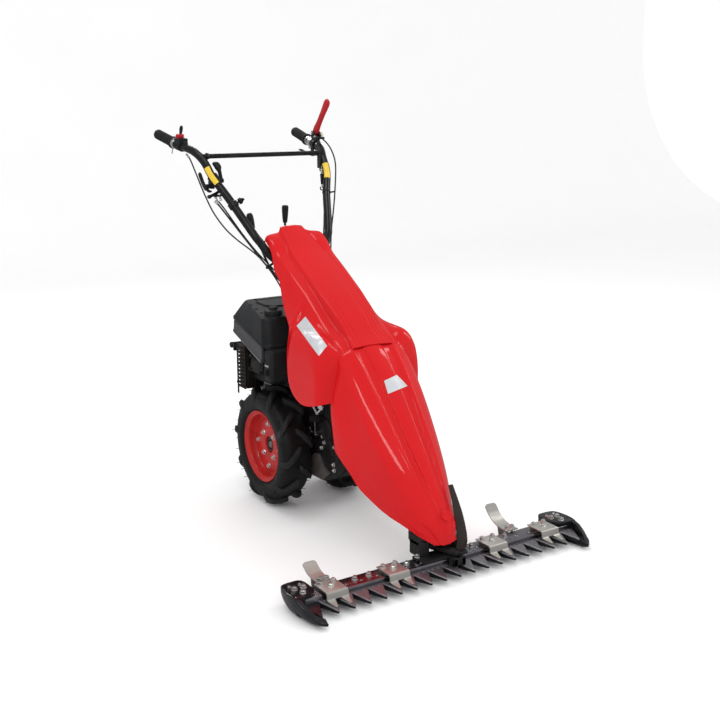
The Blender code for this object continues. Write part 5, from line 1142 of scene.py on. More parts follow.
def makeCowl():
    sizes = cowlSizes
    wide, crown = smoothLoop(sizes["wide"], 0.016), smoothLoop(sizes["crown"], 0.016)
    middle = Vector((-0.02, 0.96))
    rings = []
    for lift, top, share, inset in sizes["levels"]:
        ring = []
        for w, c in zip(wide, crown):
            p = w.lerp(c, share)
            p = p + (middle - p).normalized() * inset
            z0 = cowlFloor(w.y) + lift
            ring.append((p.x, p.y, z0 + (sizes["top"] - z0) * top))
        rings.append(ring)
    parts = [skin(rings)]
    panel = smoothLoop(sizes["panel"], 0.007)
    centre = sum(panel, Vector((0, 0))) / len(panel)
    steps = ((-0.004, 0.0), (0.0028, 0.0), (0.0048, 0.0016), (0.0058, 0.004), (0.006, 0.008))
    parts.append(skin([[(*(p + (centre - p).normalized() * inset), sizes["top"] + h) for p in panel]
        for h, inset in steps]))
    cap = (*sizes["cap"], sizes["top"])
    seat = [(-0.01, 0.04), (0.0, 0.04), (0.0022, 0.0385), (0.003, 0.035), (0.0034, 0.033), (0.004, 0.0325),
        (0.004, 0.022), (-0.008, 0.0215)]
    parts.append(lathe(cap, (0, 0, 1), seat, 56))
    # Mounting pads for the three screws, and the ledge along the rear edge
    for x, y in sizes["screws"]:
        parts.append(lathe((x, y, sizes["top"]), (0, 0, 1),
            [(-0.002, 0.0078), (0.001, 0.0078), (0.0016, 0.007), (0.0016, 0.0052), (-0.0012, 0.0046),
            (-0.0013, 0.0002)], 28))
    settle("cowl_shell", parts, "coverBlack", "tank_cover", angle=38)
    screws = [((x, y, sizes["top"] - 0.001), (0, 0, 1)) for x, y in sizes["screws"]]
    nuts("cowl_screws", screws, (0.007, 0.0022, 0.0016, 0.0002), finish="castBlack")
    strap = [roundBox((-0.06, 1.1, sizes["top"] - 0.001), (0.07, 1.126, sizes["top"] + 0.0032), 0.0016)]
    settle("cowl_strap", strap, "tubeBlack")


def makeFuelCap():
    centre = Vector((*cowlSizes["cap"], cowlSizes["top"]))
    rings = []
    for h, r, wave in ((-0.0085, 0.019, 0), (0.0042, 0.0192, 0), (0.0043, 0.0285, 0.0), (0.005, 0.03, 0.0004),
            (0.016, 0.03, 0.0007), (0.018, 0.0294, 0.0004), (0.0188, 0.0278, 0), (0.019, 0.0262, 0),
            (0.0205, 0.024, 0), (0.0218, 0.02, 0), (0.0222, 0.0165, 0), (0.0258, 0.0152, 0.0004),
            (0.0288, 0.0142, 0.0004), (0.0302, 0.0122, 0), (0.0304, 0.008, 0)):
        ring = []
        for a in turnsOf(144):
            reach = r + wave * fuller(math.cos(12 * a), 0.5)
            ring.append(centre + Vector((reach * math.cos(a), reach * math.sin(a), h)))
        rings.append(ring)
    settle("tank_cap", skin(rings), "coverBlack", "fuel_cap", angle=45)


def makeSkirt():
    rings = []
    front, rear = Vector((-0.203, 0.8)), Vector((-0.1435, 1.122))
    count = 24
    for k in range(count + 1):
        share = k / count
        at = front.lerp(rear, share)
        high = cowlFloor(at.y) - 0.0004
        low = high - 0.051 + 0.011 * share
        rings.append([(at.x + 0.0005, at.y, high), (at.x + 0.008, at.y, high),
            (at.x + 0.008, at.y, low + 0.006), (at.x + 0.004, at.y, low + 0.0012), (at.x - 0.001, at.y, low),
            (at.x - 0.0042, at.y, low + 0.0018), (at.x - 0.005, at.y, low + 0.0046),
            (at.x - 0.0036, at.y, low + 0.007), (at.x - 0.0016, at.y, low + 0.011),
            (at.x - 0.0006, at.y, low + 0.02), (at.x, at.y, high - 0.003)])
    settle("skirt_band", skin(rings), "skirtGrey", "side_shield", angle=50)
    # A bright zinc bead along the shield's lower edge is a painted highlight: it stands for the light line
    # that the curled lip catches.
    edge = []
    for k in range(count + 1):
        share = 0.02 + 0.96 * k / count
        at = front.lerp(rear, share)
        low = cowlFloor(at.y) - 0.0514 + 0.011 * share
        edge.append((at.x - 0.0026, at.y, low + 0.0002))
    settle("skirt_edge", pipe(edge, 0.0016, 12), "zinc", angle=60)


cylinderSizes = {"place": (-0.056, 0.905, 0.478), "tilt": 10, "fins": 9, "finStep": 0.0072, "firstFin": 0.024}


def tilted(work, origin, angle):
    bmesh.ops.transform(work, verts=work.verts,
        matrix=Matrix.Translation(origin) @ Matrix.Rotation(math.radians(angle), 4, "Y"))
    return work


def makeCylinder():
    origin, tilt = Vector(cylinderSizes["place"]), cylinderSizes["tilt"]
    barrel = roundBox((-0.089, -0.045, -0.04), (0.0, 0.045, 0.04), 0.004)
    settle("cylinder_core", tilted(barrel, origin, tilt), "castBlack", "cylinder")
    fin = slab([(0.0, p.x, p.y) for p in smoothLoop([(-0.062, -0.076), (0.062, -0.076), (0.064, -0.04),
        (0.06, 0.05), (-0.06, 0.05), (-0.064, -0.04)], 0.01)], (-0.0024, 0, 0))
    turn = Matrix.Rotation(math.radians(tilt), 4, "Y")
    bmesh.ops.transform(fin, verts=fin.verts, matrix=turn)
    row = {"Count": cylinderSizes["fins"], "Step": turn @ Vector((-cylinderSizes["finStep"], 0, 0))}
    start = origin + turn @ Vector((-cylinderSizes["firstFin"], 0, 0))
    grow("cylinder_fins", rowTree, meshOf(fin), row, "castBlack", "cylinder", shift=start)
    cover = roundBox((-0.112, -0.043, -0.05), (-0.0895, 0.043, 0.038), 0.006)
    parts = [cover, roundBox((-0.1135, -0.03, -0.036), (-0.108, 0.03, 0.024), 0.0022)]
    settle("head_lid", tilted(gather(parts), origin, tilt), "castBlack", "head_cover")
    bolts = []
    for y, z in [(y, z) for z in (-0.043, 0.031) for y in (-0.036, 0.036)]:
        bolts.append((origin + turn @ Vector((-0.1115, y, z)), turn @ Vector((-1, 0, 0))))
    nuts("head_bolts", bolts, (0.01, 0.005, 0.003, 0.001), finish="castBlack")
    boot = [(-0.004, 0.0075), (0.006, 0.008), (0.008, 0.0062), (0.022, 0.006), (0.024, 0.004)]
    plug = lathe((-0.112, 0.01, 0.0), (-1, 0.1, 0.3), boot, 24)
    settle("plug_boot", tilted(plug, origin, tilt), "gripRubber")


def makeExhaust():
    box = roundBox((-0.171, 0.98, 0.372), (-0.1, 1.036, 0.53), 0.012, 4)
    seam = roundBox((-0.1395, 0.9775, 0.37), (-0.1355, 1.0385, 0.532), 0.0018)
    pipes = [lathe((-0.12, 1.03, 0.41), (0, 0.98, -0.18),
        [(0.0, 0.0102), (0.03, 0.0102), (0.031, 0.0098), (0.031, 0.0084), (0.015, 0.0084)], 32),
        lathe((-0.125, 0.9693, 0.48), (0, 1, 0), [(0.0, 0.011), (0.0157, 0.011)], 32),
        lathe((-0.125, 0.9693, 0.48), (0, 1, 0), [(0.0, 0.0185), (0.003, 0.0185), (0.0042, 0.0172)], 32)]
    studs = [lathe((-0.16, y, z), (-1, 0, 0), [(0.0, 0.0042), (0.018, 0.0042)], 16) for y in (0.9985, 1.0175)
        for z in (0.4065, 0.5115)]
    settle("silencer_box", [box, seam] + pipes + studs, "burntSteel", "muffler", angle=38)
    # Louvred guard: a frame of strips round rows of slots
    parts = [roundBox((-0.1815, y0, low), (-0.1785, y1, 0.53), 0.001)
        for y0, y1, low in ((0.966, 0.9735, 0.377), (1.0205, 1.03, 0.352))]
    settle("guard_sides", parts, "burntSteel", "muffler_guard")
    louvre = rounded(slab([(-0.1785, 0.0, -0.0045), (-0.1805, 0.0, -0.0048), (-0.1832, 0.0, 0.003),
        (-0.18, 0.0, 0.0052), (-0.1785, 0.0, 0.0048)], (0, 0.049, 0)), 0.0006, 1, 40)
    bmesh.ops.translate(louvre, verts=louvre.verts, vec=(0, 0.9725, 0))
    grow("guard_louvres", rowTree, meshOf(louvre), {"Count": 12, "Step": (0, 0, 0.0131)}, "burntSteel",
        "muffler_guard", shift=(0, 0, 0.381))
    spots = [((-0.1815, y, z), (-1, 0, 0)) for y in (0.97, 1.0255) for z in (0.3925, 0.5215)]
    nuts("guard_screws", spots, (0.007, 0.003, 0.002, 0.0006), finish="castBlack")


def makeStarter():
    centre = Vector((0, 0.9853, 0.485))
    steps = [(0.0, 0.086), (0.033, 0.086), (0.04, 0.085), (0.045, 0.0818), (0.046, 0.079), (0.046, 0.03)]
    shroud = roundBox((-0.122, 0.99, 0.385), (0.122, 1.04, 0.568), 0.028, 5)
    settle("blower_drum", [lathe(centre, (0, 1, 0), steps, 96), shroud], "tubeBlack", "blower_housing",
        angle=35)
    steps = [(0.0464, 0.074), (0.0464, 0.0785), (0.049, 0.083), (0.051, 0.0848), (0.074, 0.0848),
        (0.078, 0.082), (0.088, 0.068), (0.0905, 0.064), (0.0925, 0.05), (0.096, 0.042), (0.0964, 0.036),
        (0.095, 0.03), (0.095, 0.006)]
    parts = [lathe(centre, (0, 1, 0), steps, 96), roundBox((-0.17, 1.07, 0.49), (-0.06, 1.082, 0.52), 0.004)]
    settle("recoil_lid", parts, "tubeBlack", "recoil_cover", angle=35)
    rib = rounded(slab([(0.0, -0.0035, 0.043), (0.0, 0.0035, 0.043), (0.0, 0.0035, 0.062),
        (0.0, -0.0035, 0.06)], (-0.003, 0, 0)), 0.0008, 1)
    # The ring tree turns about X, so the vane is laid there and the ring is stood up afterwards.
    vanes = grow("recoil_vanes", ringTree, meshOf(rib), {"Count": 16, "First Turn": 0.1}, "castBlack",
        angle=30)
    place, upright = Matrix.Translation((0, 1.078 - middleY, 0.485)), Matrix.Rotation(math.radians(-90), 4,
        "Z")
    vanes.data.transform(place @ upright @ Matrix.Translation((0, middleY, 0)))
    nuts("recoil_screws", [(centre + Vector((0.076 * math.cos(a), 0.0515, 0.076 * math.sin(a))), (0, 1, 0))
        for a in [math.radians(d) for d in (45, 135, 225, 315)]], (0.008, 0.034, 0.002, 0.0005))
    grip = Vector((-0.134, 1.0823, 0.505))
    steps = [(-0.034, 0.004), (-0.0335, 0.0085), (-0.031, 0.0105), (-0.028, 0.0106), (-0.015, 0.0094),
        (0.0, 0.009), (0.015, 0.0094), (0.028, 0.0106), (0.031, 0.0105), (0.0335, 0.0085), (0.034, 0.004)]
    parts = [lathe(grip + Vector((0, 0.022, 0)), (1, 0, 0), steps, 36),
        pipe([grip, grip + Vector((0, 0.02, 0))], 0.0058, 20)]
    settle("pull_handle", parts, "gripRubber", "recoil_grip", angle=45)
    rope = lathe(grip, (0, 1, 0), [(-0.001, 0.008), (0.0, 0.0088), (0.001, 0.008)], 24)
    settle("rope_eye", rope, "zinc")


def makeEngineParts():
    for node, name, finish, width in (("crankcase", "crankcase_body", "castGrey", 0.004),
            ("air_cleaner", "filter_box", "coverBlack", 0.003),
            ("carburettor", "carburettor_body", "castGrey", 0.0025),
            ("engine_mount", "mount_plate", "tubeBlack", 0.0015)):
        settle(name, softCopy(node, width, 3), finish, node)
    strap = [roundBox((-0.203, 0.758, 0.5), (-0.076, 0.781, 0.506), 0.0012)]
    settle("filter_clip", strap, "zinc")
    nuts("filter_nut", [((-0.201, 0.77, 0.48), (-1, 0, 0))], (0.016, 0.007, 0.003, 0.003),
        finish="coverBlack", slotName="plastic")
    bolts = [((x, y, 0.384), (0, 0, 1)) for x in (-0.058, 0.058) for y in (0.806, 0.976)]
    nuts("mount_bolts", bolts, (0.011, 0.006, 0.0035, 0.003))
    studs = [((0.105, y, z), (1, 0, 0)) for y, z in ((0.82, 0.44), (0.96, 0.44), (0.82, 0.535), (0.96, 0.535),
        (0.89, 0.43))]
    nuts("case_bolts", studs, (0.01, 0.006, 0.003, 0.001))
    at = Vector((-0.0743, 0.82, 0.44))
    rings = []
    for h, r, wave in ((0.0003, 0.0085, 0), (0.003, 0.0086, 0), (0.0031, 0.0112, 0), (0.004, 0.0118, 0.0005),
            (0.014, 0.0116, 0.0006), (0.0155, 0.0106, 0.0002), (0.0176, 0.008, 0), (0.018, 0.005, 0)):
        ring = []
        for a in turnsOf(80):
            reach = r + wave * math.cos(10 * a)
            ring.append(at + Vector((-h, reach * math.cos(a), reach * math.sin(a))))
        rings.append(ring)
    settle("oil_filler_cap", skin(rings), "coverBlack", "oil_dipstick", angle=45)


def makeColumn():
    foot, top = Vector((0, 0.635, 0.584)), Vector((0, *handleBits["tiltAxis"]))
    way = (top - foot).normalized()
    head = [(-0.0192, 0.009), (-0.0192, 0.0205), (-0.0178, 0.022), (0.0178, 0.022), (0.0192, 0.0205),
        (0.0192, 0.009)]
    parts = [lathe(top, (1, 0, 0), head, 48), pipe([foot + 0.012 * way, top - 0.01 * way], 0.018, 32),
        roundBox((-0.04, 0.606, 0.5803), (0.03, 0.652, 0.592), 0.002),
        lathe(foot, way, [(0.004, 0.024), (0.033, 0.024), (0.035, 0.0225), (0.0352, 0.018)], 36),
        roundBox((0.004, 0.893, 0.812), (0.017, 0.905, 0.852), 0.0012)]
    rodWay = Vector((-0.0015, 0.2, 0.184)).normalized()
    eye = [(-0.007, 0.0044), (-0.007, 0.0082), (-0.0062, 0.009), (0.0062, 0.009), (0.007, 0.0082),
        (0.007, 0.0044)]
    parts.append(lathe((0.0185, 0.9, 0.852), rodWay, eye, 32, loop=True))
    settle("column_tube", parts, "tubeBlack", "column", angle=38)
    spots = [((x, y, 0.592), (0, 0, 1)) for x in (-0.033, 0.023) for y in (0.613, 0.645)]
    nuts("column_bolts", spots, (0.01, 0.006, 0.003, 0.002))


def makeGearLevers():
    foot, guide = Vector((0.02, 0.7, 0.668)), Vector((0.0185, 0.9, 0.852))
    way = (guide - foot).normalized()
    route = [foot + 0.01 * k * way for k in (0, 10, 20, 31)] + [Vector((0.0205, 0.942, 0.885)),
        Vector((0.0225, 0.985, 0.897)), Vector((0.0245, 1.03, 0.906)), Vector((0.025, 1.043, 0.918)),
        Vector((0.025, 1.0425, 0.934))]
    settle("gear_wire", pipe(curveOf(route, 0.006), 0.004, 20), "tubeBlack", "gear_rod")
    knob = [(-0.005, 0.0045), (-0.0045, 0.007), (0.0, 0.008), (0.006, 0.0088), (0.02, 0.0102), (0.04, 0.0114),
        (0.047, 0.0116), (0.052, 0.0108), (0.0545, 0.009), (0.0552, 0.005)]
    settle("gear_knob", lathe((0.025, 1.0425, 0.93), (0, -0.05, 1), knob, 40), "coverBlack", "gear_rod",
        slotName="plastic", angle=50)
    pivot = Vector((-0.058, 0.665, 0.593))
    path = [(-0.058, 0.668, 0.596), (-0.062, 0.72, 0.64), (-0.068, 0.8, 0.705), (-0.085, 0.93, 0.775),
        (-0.098, 0.995, 0.858), (-0.106, 1.032, 0.92)]
    parts = [pipe(curveOf(path, 0.006), 0.004, 20), crossPin(pivot, 0.005, 0.008, 28)]
    settle("speed_wire", parts, "tubeBlack", "speed_lever")
    knob = [(-0.007, 0.0045), (-0.006, 0.007), (0.0, 0.0084), (0.012, 0.01), (0.03, 0.0115), (0.038, 0.0113),
        (0.044, 0.0095), (0.0472, 0.0062), (0.0476, 0.002)]
    settle("speed_knob", lathe(path[-1], (-0.1, 0.32, 0.94), knob, 40), "coverBlack", "speed_lever",
        slotName="plastic", angle=50)
    # Height clamp under the right tube, beside the hood's rear end
    at = Vector((-0.11, 0.92, 0.798))
    clamp = [pipe([(-0.096, 0.91, 0.81), at], 0.004, 16),
        lathe(at, (-0.8, 0.45, 0.1), [(-0.004, 0.005), (-0.002, 0.007), (0.006, 0.007), (0.007, 0.005)], 28)]
    settle("height_clamp", clamp, "tubeBlack", body="handlebar")


makeCowl()
makeFuelCap()
makeSkirt()
makeCylinder()
makeExhaust()
makeStarter()
makeEngineParts()
makeColumn()
makeGearLevers()
print("engine, column and gear levers made")


# Cutter bar, knife drive, gearbox side and the blank plates
pitch = 0.0508
barSizes = {
    "half": 0.47, "front": 0.0668, "rear": 0.126, "top": 0.048,
    "softened": {"drive_tube": ("tubeBlack", 0.0012), "clutch_bell": ("castGrey", 0.0012),
        "hood_stay": ("tubeBlack", 0.0008), "swing_arm": ("castBlack", 0.001)},
    "nuts": (-5.75, -4.84, -2.28, 2.28, 4.84), "nutAcross": 0.013,
}


def makeCastings():
    for node, (finish, width) in barSizes["softened"].items():
        settle(node + "_soft", softCopy(node, width, 2), finish, node)


def makeFingers():
    # One pointed finger, low at its tip, repeated along the bar.
    rings = []
    for y, half, low, high in ((0.0, 0.0012, 0.0215, 0.0245), (0.003, 0.0026, 0.0205, 0.026),
            (0.02, 0.0098, 0.02, 0.0282), (0.04, 0.0176, 0.02, 0.0308), (0.056, 0.0238, 0.02, 0.0328),
            (0.066, 0.025, 0.02, 0.034)):
        rings.append([(-half, y, low), (half, y, low), (half, y, high - 0.0012), (half - 0.0008, y, high),
            (-half + 0.0008, y, high), (-half, y, high - 0.0012)])
    grow("bar_fingers", rowTree, meshOf(skin(rings)), {"Count": 19, "Step": (pitch, 0, 0)}, "shoeBlack",
        "finger_bar", shift=(-9 * pitch, 0, 0))


def makeBar():
    half, front, rear, top = (barSizes[k] for k in ("half", "front", "rear", "top"))
    section = [(front, 0.022), (front + 0.0015, 0.0205), (rear - 0.002, 0.0205), (rear, 0.023),
        (rear, top - 0.002), (rear - 0.002, top), (front + 0.0018, top), (front, top - 0.0018)]
    parts = [rounded(skin([[(x, y, z) for y, z in section] for x in (-half, half)]), 0.0008, 2)]
    settle("bar_beam", parts, "barSteel", "finger_bar")
    strip = roundBox((-half + 0.004, front + 0.0015, top - 0.001),
        (half - 0.004, front + 0.013, top + 0.0012), 0.0005, 2)
    settle("bar_strip", strip, "barSteel")
    spots = [((k * pitch, 0.104, top), (0, 0, 1)) for k in barSizes["nuts"]]
    nuts("bar_nuts", spots, (barSizes["nutAcross"], 0.008, 0.004, 0.004))
    rivets = lathe((0, 0, 0), (0, 0, 1), [(0.0, 0.0046), (0.0012, 0.0044), (0.0022, 0.0032), (0.0025, 0.001)],
        16)
    grow("bar_rivets", rowTree, meshOf(rivets), {"Count": 18, "Step": (pitch, 0, 0)}, "barSteel",
        shift=(-8.5 * pitch, 0.0885, top))


def makeKnife():
    # A section is a bevelled triangle that slopes down to its point.
    rings = []
    for lift, inset in ((0.0, 0.0), (0.0022, 0.0), (0.0031, 0.0016)):
        ring = []
        for x, y in ((-0.0022, 0.0012), (0.0022, 0.0012), (0.0244, 0.056), (0.025, 0.0655), (-0.025, 0.0655),
                (-0.0244, 0.056)):
            y += inset * 1.2 if y < 0.01 else 0
            x -= math.copysign(min(inset, abs(x) - 0.0012), x)
            ring.append((x, y, 0.0256 + 0.0092 * y / 0.0655 + lift))
        rings.append(ring)
    rivet = [lathe((x, 0.056, 0.036), (0, 0, 1), [(-0.001, 0.0034), (0.0012, 0.0032), (0.0022, 0.0014)], 12)
        for x in (-0.01, 0.01)]
    grow("knife_sections", rowTree, meshOf([skin(rings)] + rivet), {"Count": 18, "Step": (pitch, 0, 0)},
        "bladeSteel", "knife", shift=(-8 * pitch, 0, 0), angle=14)
    parts = [roundBox((-8 * pitch - 0.0205, 0.059, 0.033), (9 * pitch + 0.0205, 0.066, 0.0392), 0.0008)]
    settle("knife_back", parts, "barSteel", "knife")
    x = pitch / 2
    head = [roundBox((x - 0.021, 0.038, 0.034), (x - 0.007, 0.0662, 0.058), 0.002),
        roundBox((x + 0.007, 0.038, 0.034), (x + 0.021, 0.0662, 0.058), 0.002),
        roundBox((x - 0.021, 0.038, 0.034), (x + 0.021, 0.0456, 0.0575), 0.002)]
    settle("knife_head", head, "castBlack", "knife")


def stripRing(middle, up, left, right, soft):
    # The section of a sheet with soft long edges. Up is as long as the wall is thick.
    half = [(left, 0.3), (left + soft, 0.5), (right - soft, 0.5), (right, 0.3)]
    return [middle + up * h + Vector((x, 0, 0)) for x, h in [(x, -h) for x, h in half] + half[::-1]]


def bentStrip(path, half, wall, centre, step=0.004):
    # Sheet metal bent along (y, z).
    line = curveOf([(0, y, z) for y, z in path], step)
    rings = []
    for i, p in enumerate(line):
        way = wayAt(line, i)
        share = i / (len(line) - 1)
        left, right = half(share) if callable(half) else (-half, half)
        rings.append(stripRing(p, Vector((0, -way.z, way.y)) * wall, centre + left, centre + right, 0.0006))
    return skin(rings)


def makeHoldDown(number, place):
    x, low, wall = place * pitch, 0.056, 0.004
    parts = [roundBox((x - 0.0335, 0.056, low), (x + 0.0335, 0.118, low + wall), 0.0012),
        bentStrip([(0.06, low + 0.002), (0.0545, low + 0.0019), (0.051, 0.056), (0.0492, 0.051),
        (0.048, 0.045), (0.0468, 0.04)], lambda share: (-0.0335 - 0.001 * share, 0.0335 + 0.001 * share),
        wall * 0.92, x, 0.002), roundBox((x - 0.024, 0.074, 0.0483), (x + 0.024, 0.114, low + 0.001), 0.001)]
    for side in (-0.5, 0.5):
        # The two legs narrow as they follow the fingers down.
        parts.append(bentStrip([(0.0476, 0.042), (0.044, 0.0388), (0.034, 0.036), (0.015, 0.0326)],
            lambda share: (-0.0134 + 0.0098 * share, 0.0134 - 0.0098 * share), wall * 0.8,
            x + side * pitch * 0.86, 0.003))
    settle("keeper_" + str(number), parts, "stainless", "hold_down_" + str(number))
    spots = [((x + dx, y, low + wall), (0, 0, 1)) for dx, y in ((-0.02, 0.104), (0.02, 0.104), (0.0, 0.082))]
    nuts("keeper_nuts_" + str(number), spots, (0.0135, 0.008, 0.0042, 0.0025))


skidPaths = {
    "right": (-7.38, [(0.1185, 0.0541), (0.15, 0.0535), (0.168, 0.0548), (0.184, 0.0592), (0.199, 0.068),
        (0.215, 0.079)], [(0.072, 0.0177), (0.1, 0.0177), (0.126, 0.008), (0.146, 0.0025), (0.158, 0.0065),
        (0.166, 0.03), (0.17, 0.055)]),
    "left": (5.71, [(0.1185, 0.0543), (0.148, 0.0545), (0.168, 0.0575), (0.188, 0.0655), (0.206, 0.078),
        (0.219, 0.092), (0.229, 0.1045)], [(0.072, 0.0177), (0.1, 0.0177), (0.124, 0.008), (0.14, 0.0025),
        (0.153, 0.009), (0.162, 0.035), (0.167, 0.057)]),
}


def makeSkid(side):
    place, tongue, runner = skidPaths[side]
    x = place * pitch
    parts = [bentStrip(tongue, lambda share: (-0.022 + 0.16 * max(0.0, share - 0.95),
        0.022 - 0.16 * max(0.0, share - 0.95)), 0.0036, x, 0.003), bentStrip(runner, 0.019, 0.0036, x)]
    for dx in (-0.011, 0.011):
        parts.append(pipe([(x + dx, 0.1345, 0.004), (x + dx, 0.1345, 0.066)], 0.0038, 16))
    settle("skid_strip_" + side, parts, "stainless", side + "_skid")
    nuts("skid_nuts_" + side, [((x + dx, 0.1345, 0.0563), (0, 0, 1)) for dx in (-0.011, 0.011)],
        (0.0125, 0.008, 0.0038, 0.002))


# Stations along the shoe: y, outer edge, inner edge, inside of the rim, floor, top, sole.
# Widths count outwards from the bar's end.
shoeSizes = {
    "stations": [(-0.035, -0.0062, -0.0102, -0.0098, 0.02, 0.0205, 0.015),
        (-0.031, -0.0015, -0.0106, -0.009, 0.0218, 0.0223, 0.0125),
        (-0.018, 0.011, -0.0128, -0.01, 0.0255, 0.0266, 0.0085),
        (-0.013, 0.0135, -0.0138, -0.006, 0.0254, 0.0282, 0.007),
        (0.0, 0.0185, -0.0097, 0.003, 0.025, 0.0322, 0.0045),
        (0.02, 0.026, -0.0097, 0.0116, 0.0245, 0.0412, 0.0022),
        (0.045, 0.031, -0.0097, 0.0156, 0.0245, 0.0522, 0.0004),
        (0.067, 0.0335, -0.0097, 0.0148, 0.0245, 0.0565, 0.0),
        (0.0677, 0.0337, 0.0012, 0.023, 0.057, 0.0575, 0.0),
        (0.085, 0.035, 0.0012, 0.0245, 0.0592, 0.0605, 0.0),
        (0.11, 0.035, 0.0012, 0.0245, 0.0592, 0.0608, 0.0),
        (0.132, 0.033, 0.0012, 0.023, 0.0592, 0.0606, 0.006),
        (0.148, 0.0298, 0.0012, 0.019, 0.059, 0.0602, 0.016),
        (0.159, 0.024, 0.0012, 0.013, 0.0586, 0.0594, 0.024),
        (0.1655, 0.014, 0.0012, 0.006, 0.0575, 0.058, 0.03)],
    "deck": [(-0.03, 0.08), (-0.044, 0.095), (-0.044, 0.145), (-0.04, 0.16), (-0.028, 0.1665),
        (0.008, 0.166), (0.018, 0.156), (0.024, 0.14), (0.026, 0.11), (0.026, 0.07), (0.002, 0.069)],
    "nuts": [(0.004, 0.119), (-0.023, 0.118), (-0.006, 0.09)], "bolts": [(0.008, 0.139), (-0.023, 0.137)],
}


def makeShoe(name, side):
    end = barSizes["half"]
    rings = []
    for y, outer, inner, rim, floor, top, sole in shoeSizes["stations"]:
        wide = outer - inner
        ring = [(inner, sole + 0.002), (inner + 0.0015, sole), (outer - wide * 0.62, sole),
            (outer - wide * 0.3, sole + (top - sole) * 0.16), (outer - 0.003, sole + (top - sole) * 0.4),
            (outer, top - (top - sole) * 0.3), (outer, top - 0.0022), (outer - 0.0012, top - 0.0005),
            (outer - 0.0026, top), (rim + 0.0022, top), (rim + 0.0008, top - 0.0004),
            (rim, floor + (top - floor) * 0.4), (rim - 0.0012, floor), (inner + 0.0005, floor),
            (inner, floor - 0.0008)]
        rings.append([(side * (end + out), y, z) for out, z in ring])
    deck = smoothLoop(shoeSizes["deck"], 0.006)
    parts = [skin(rings), rounded(slab([(side * (end + p.x), p.y, 0.0496) for p in deck], (0, 0, 0.0092)),
        0.0012, 2)]
    block = smoothLoop([(-0.043, 0.1275), (-0.0425, 0.147), (-0.0385, 0.16), (-0.028, 0.1655), (0.006, 0.165),
        (0.006, 0.1275)], 0.005)
    parts.append(rounded(slab([(side * (end + p.x), p.y, 0.023) for p in block], (0, 0, 0.029)), 0.0015, 2))
    settle("shoe_" + name, parts, "shoeBlack", name + "_shoe", angle=34)
    spots = [((side * (end + out), y, 0.0586), (0, 0, 1)) for out, y in shoeSizes["nuts"]]
    nuts("shoe_nuts_" + name, spots, (0.0135, 0.007, 0.004, 0.003))
    spots = [((side * (end + out), y, 0.0586), (0, 0, 1)) for out, y in shoeSizes["bolts"]]
    nuts("shoe_bolts_" + name, spots, (0.0085, 0.0036, 0.002, 0.0004))


def makeGuard():
    stations = [(0.097, 0.0503, 0.036, 0.077), (0.086, 0.0503, 0.036, 0.077), (0.0802, 0.054, 0.036, 0.0775),
        (0.0792, 0.062, 0.038, 0.0795), (0.0785, 0.085, 0.043, 0.082), (0.079, 0.108, 0.0435, 0.0795),
        (0.0815, 0.14, 0.0405, 0.0735), (0.086, 0.172, 0.038, 0.067), (0.098, 0.212, 0.037, 0.059),
        (0.115, 0.253, 0.037, 0.052)]
    parts, rings = 4, []
    for i in range((len(stations) - 1) * parts + 1):
        k = min(i // parts, len(stations) - 2)
        before, after = Vector(stations[k]), Vector(stations[k + 1])
        y, z, left, right = before.lerp(after, i / parts - k)
        way = (after - before).yx.normalized()
        rings.append(stripRing(Vector((0, y, z)), Vector((0, -way.x, way.y)) * 0.004, left, right, 0.0008))
    settle("side_guard", skin(rings), "guardBlack", "guard_plate", angle=50)


def makeDrive():
    parts = [roundBox((-0.048, 0.106, 0.072), (0.048, 0.198, 0.15), 0.01, 4),
        roundBox((-0.066, 0.108, 0.0785), (0.066, 0.165, 0.118), 0.009, 4),
        roundBox((-0.06, 0.15, 0.0503), (0.06, 0.164, 0.082), 0.003),
        roundBox((-0.078, 0.069, 0.0485), (0.078, 0.126, 0.0565), 0.002),
        lathe((0, 0.15, 0.14), (0, 0, 1), [(0.0, 0.033), (0.03, 0.03), (0.042, 0.022), (0.046, 0.012)], 40)]
    for side in (-1, 1):
        low, high = sorted((side * 0.036, side * 0.066))
        parts.append(roundBox((low, 0.102, 0.0503), (high, 0.163, 0.101), 0.005, 3))
        low, high = sorted((side * 0.034, side * 0.082))
        parts.append(roundBox((low, 0.0985, 0.0483), (high, 0.1258, 0.0573), 0.002))
        for k in range(3):
            x = side * (0.012 + 0.01 * k)
            parts.append(roundBox((x - 0.0014, 0.1005, 0.084), (x + 0.0014, 0.107, 0.142), 0.0008, 1))
    noseWay = Vector((0, -0.857, 0.515))
    start = Vector((0, 0.077, 0.183)) - 0.0223 * noseWay
    parts.append(pipe([start, start - 0.03 * noseWay], 0.009, 24))
    settle("drive_casting", parts, "castBlack", "cutter_drive", angle=38)
    spots = [((side * 0.0735, 0.112, 0.0573), (0, 0, 1)) for side in (-1, 1)]
    nuts("drive_nuts", spots, (0.013, 0.008, 0.004, 0.003))
    pads = [roundBox((0.04, 0.116, 0.106), (0.058, 0.142, 0.1085), 0.001)]
    settle("drive_tag", pads, "plateSilver")


gearSizes = {
    "half": 0.056,
    "side": [(0.62, 0.146), (0.655, 0.115), (0.9, 0.115), (0.945, 0.16), (0.945, 0.3), (0.925, 0.36),
        (0.7, 0.36), (0.68, 0.4), (0.68, 0.58), (0.6, 0.58), (0.575, 0.5), (0.575, 0.2)],
    "bosses": [(0.64, 0.3, 0.034, 0.008), (0.79, 0.24, 0.046, 0.008), (0.865, 0.202, 0.044, 0.014)],
    "bolts": [(0.6, 0.19), (0.6, 0.47), (0.905, 0.32), (0.66, 0.54), (0.596, 0.25), (0.668, 0.267),
        (0.658, 0.249), (0.676, 0.227), (0.596, 0.172), (0.7, 0.33), (0.86, 0.33)],
    "belly": [(0.77, 0.152), (0.712, 0.2), (0.684, 0.205), (0.652, 0.168), (0.618, 0.157), (0.66, 0.121),
        (0.759, 0.119)],
}


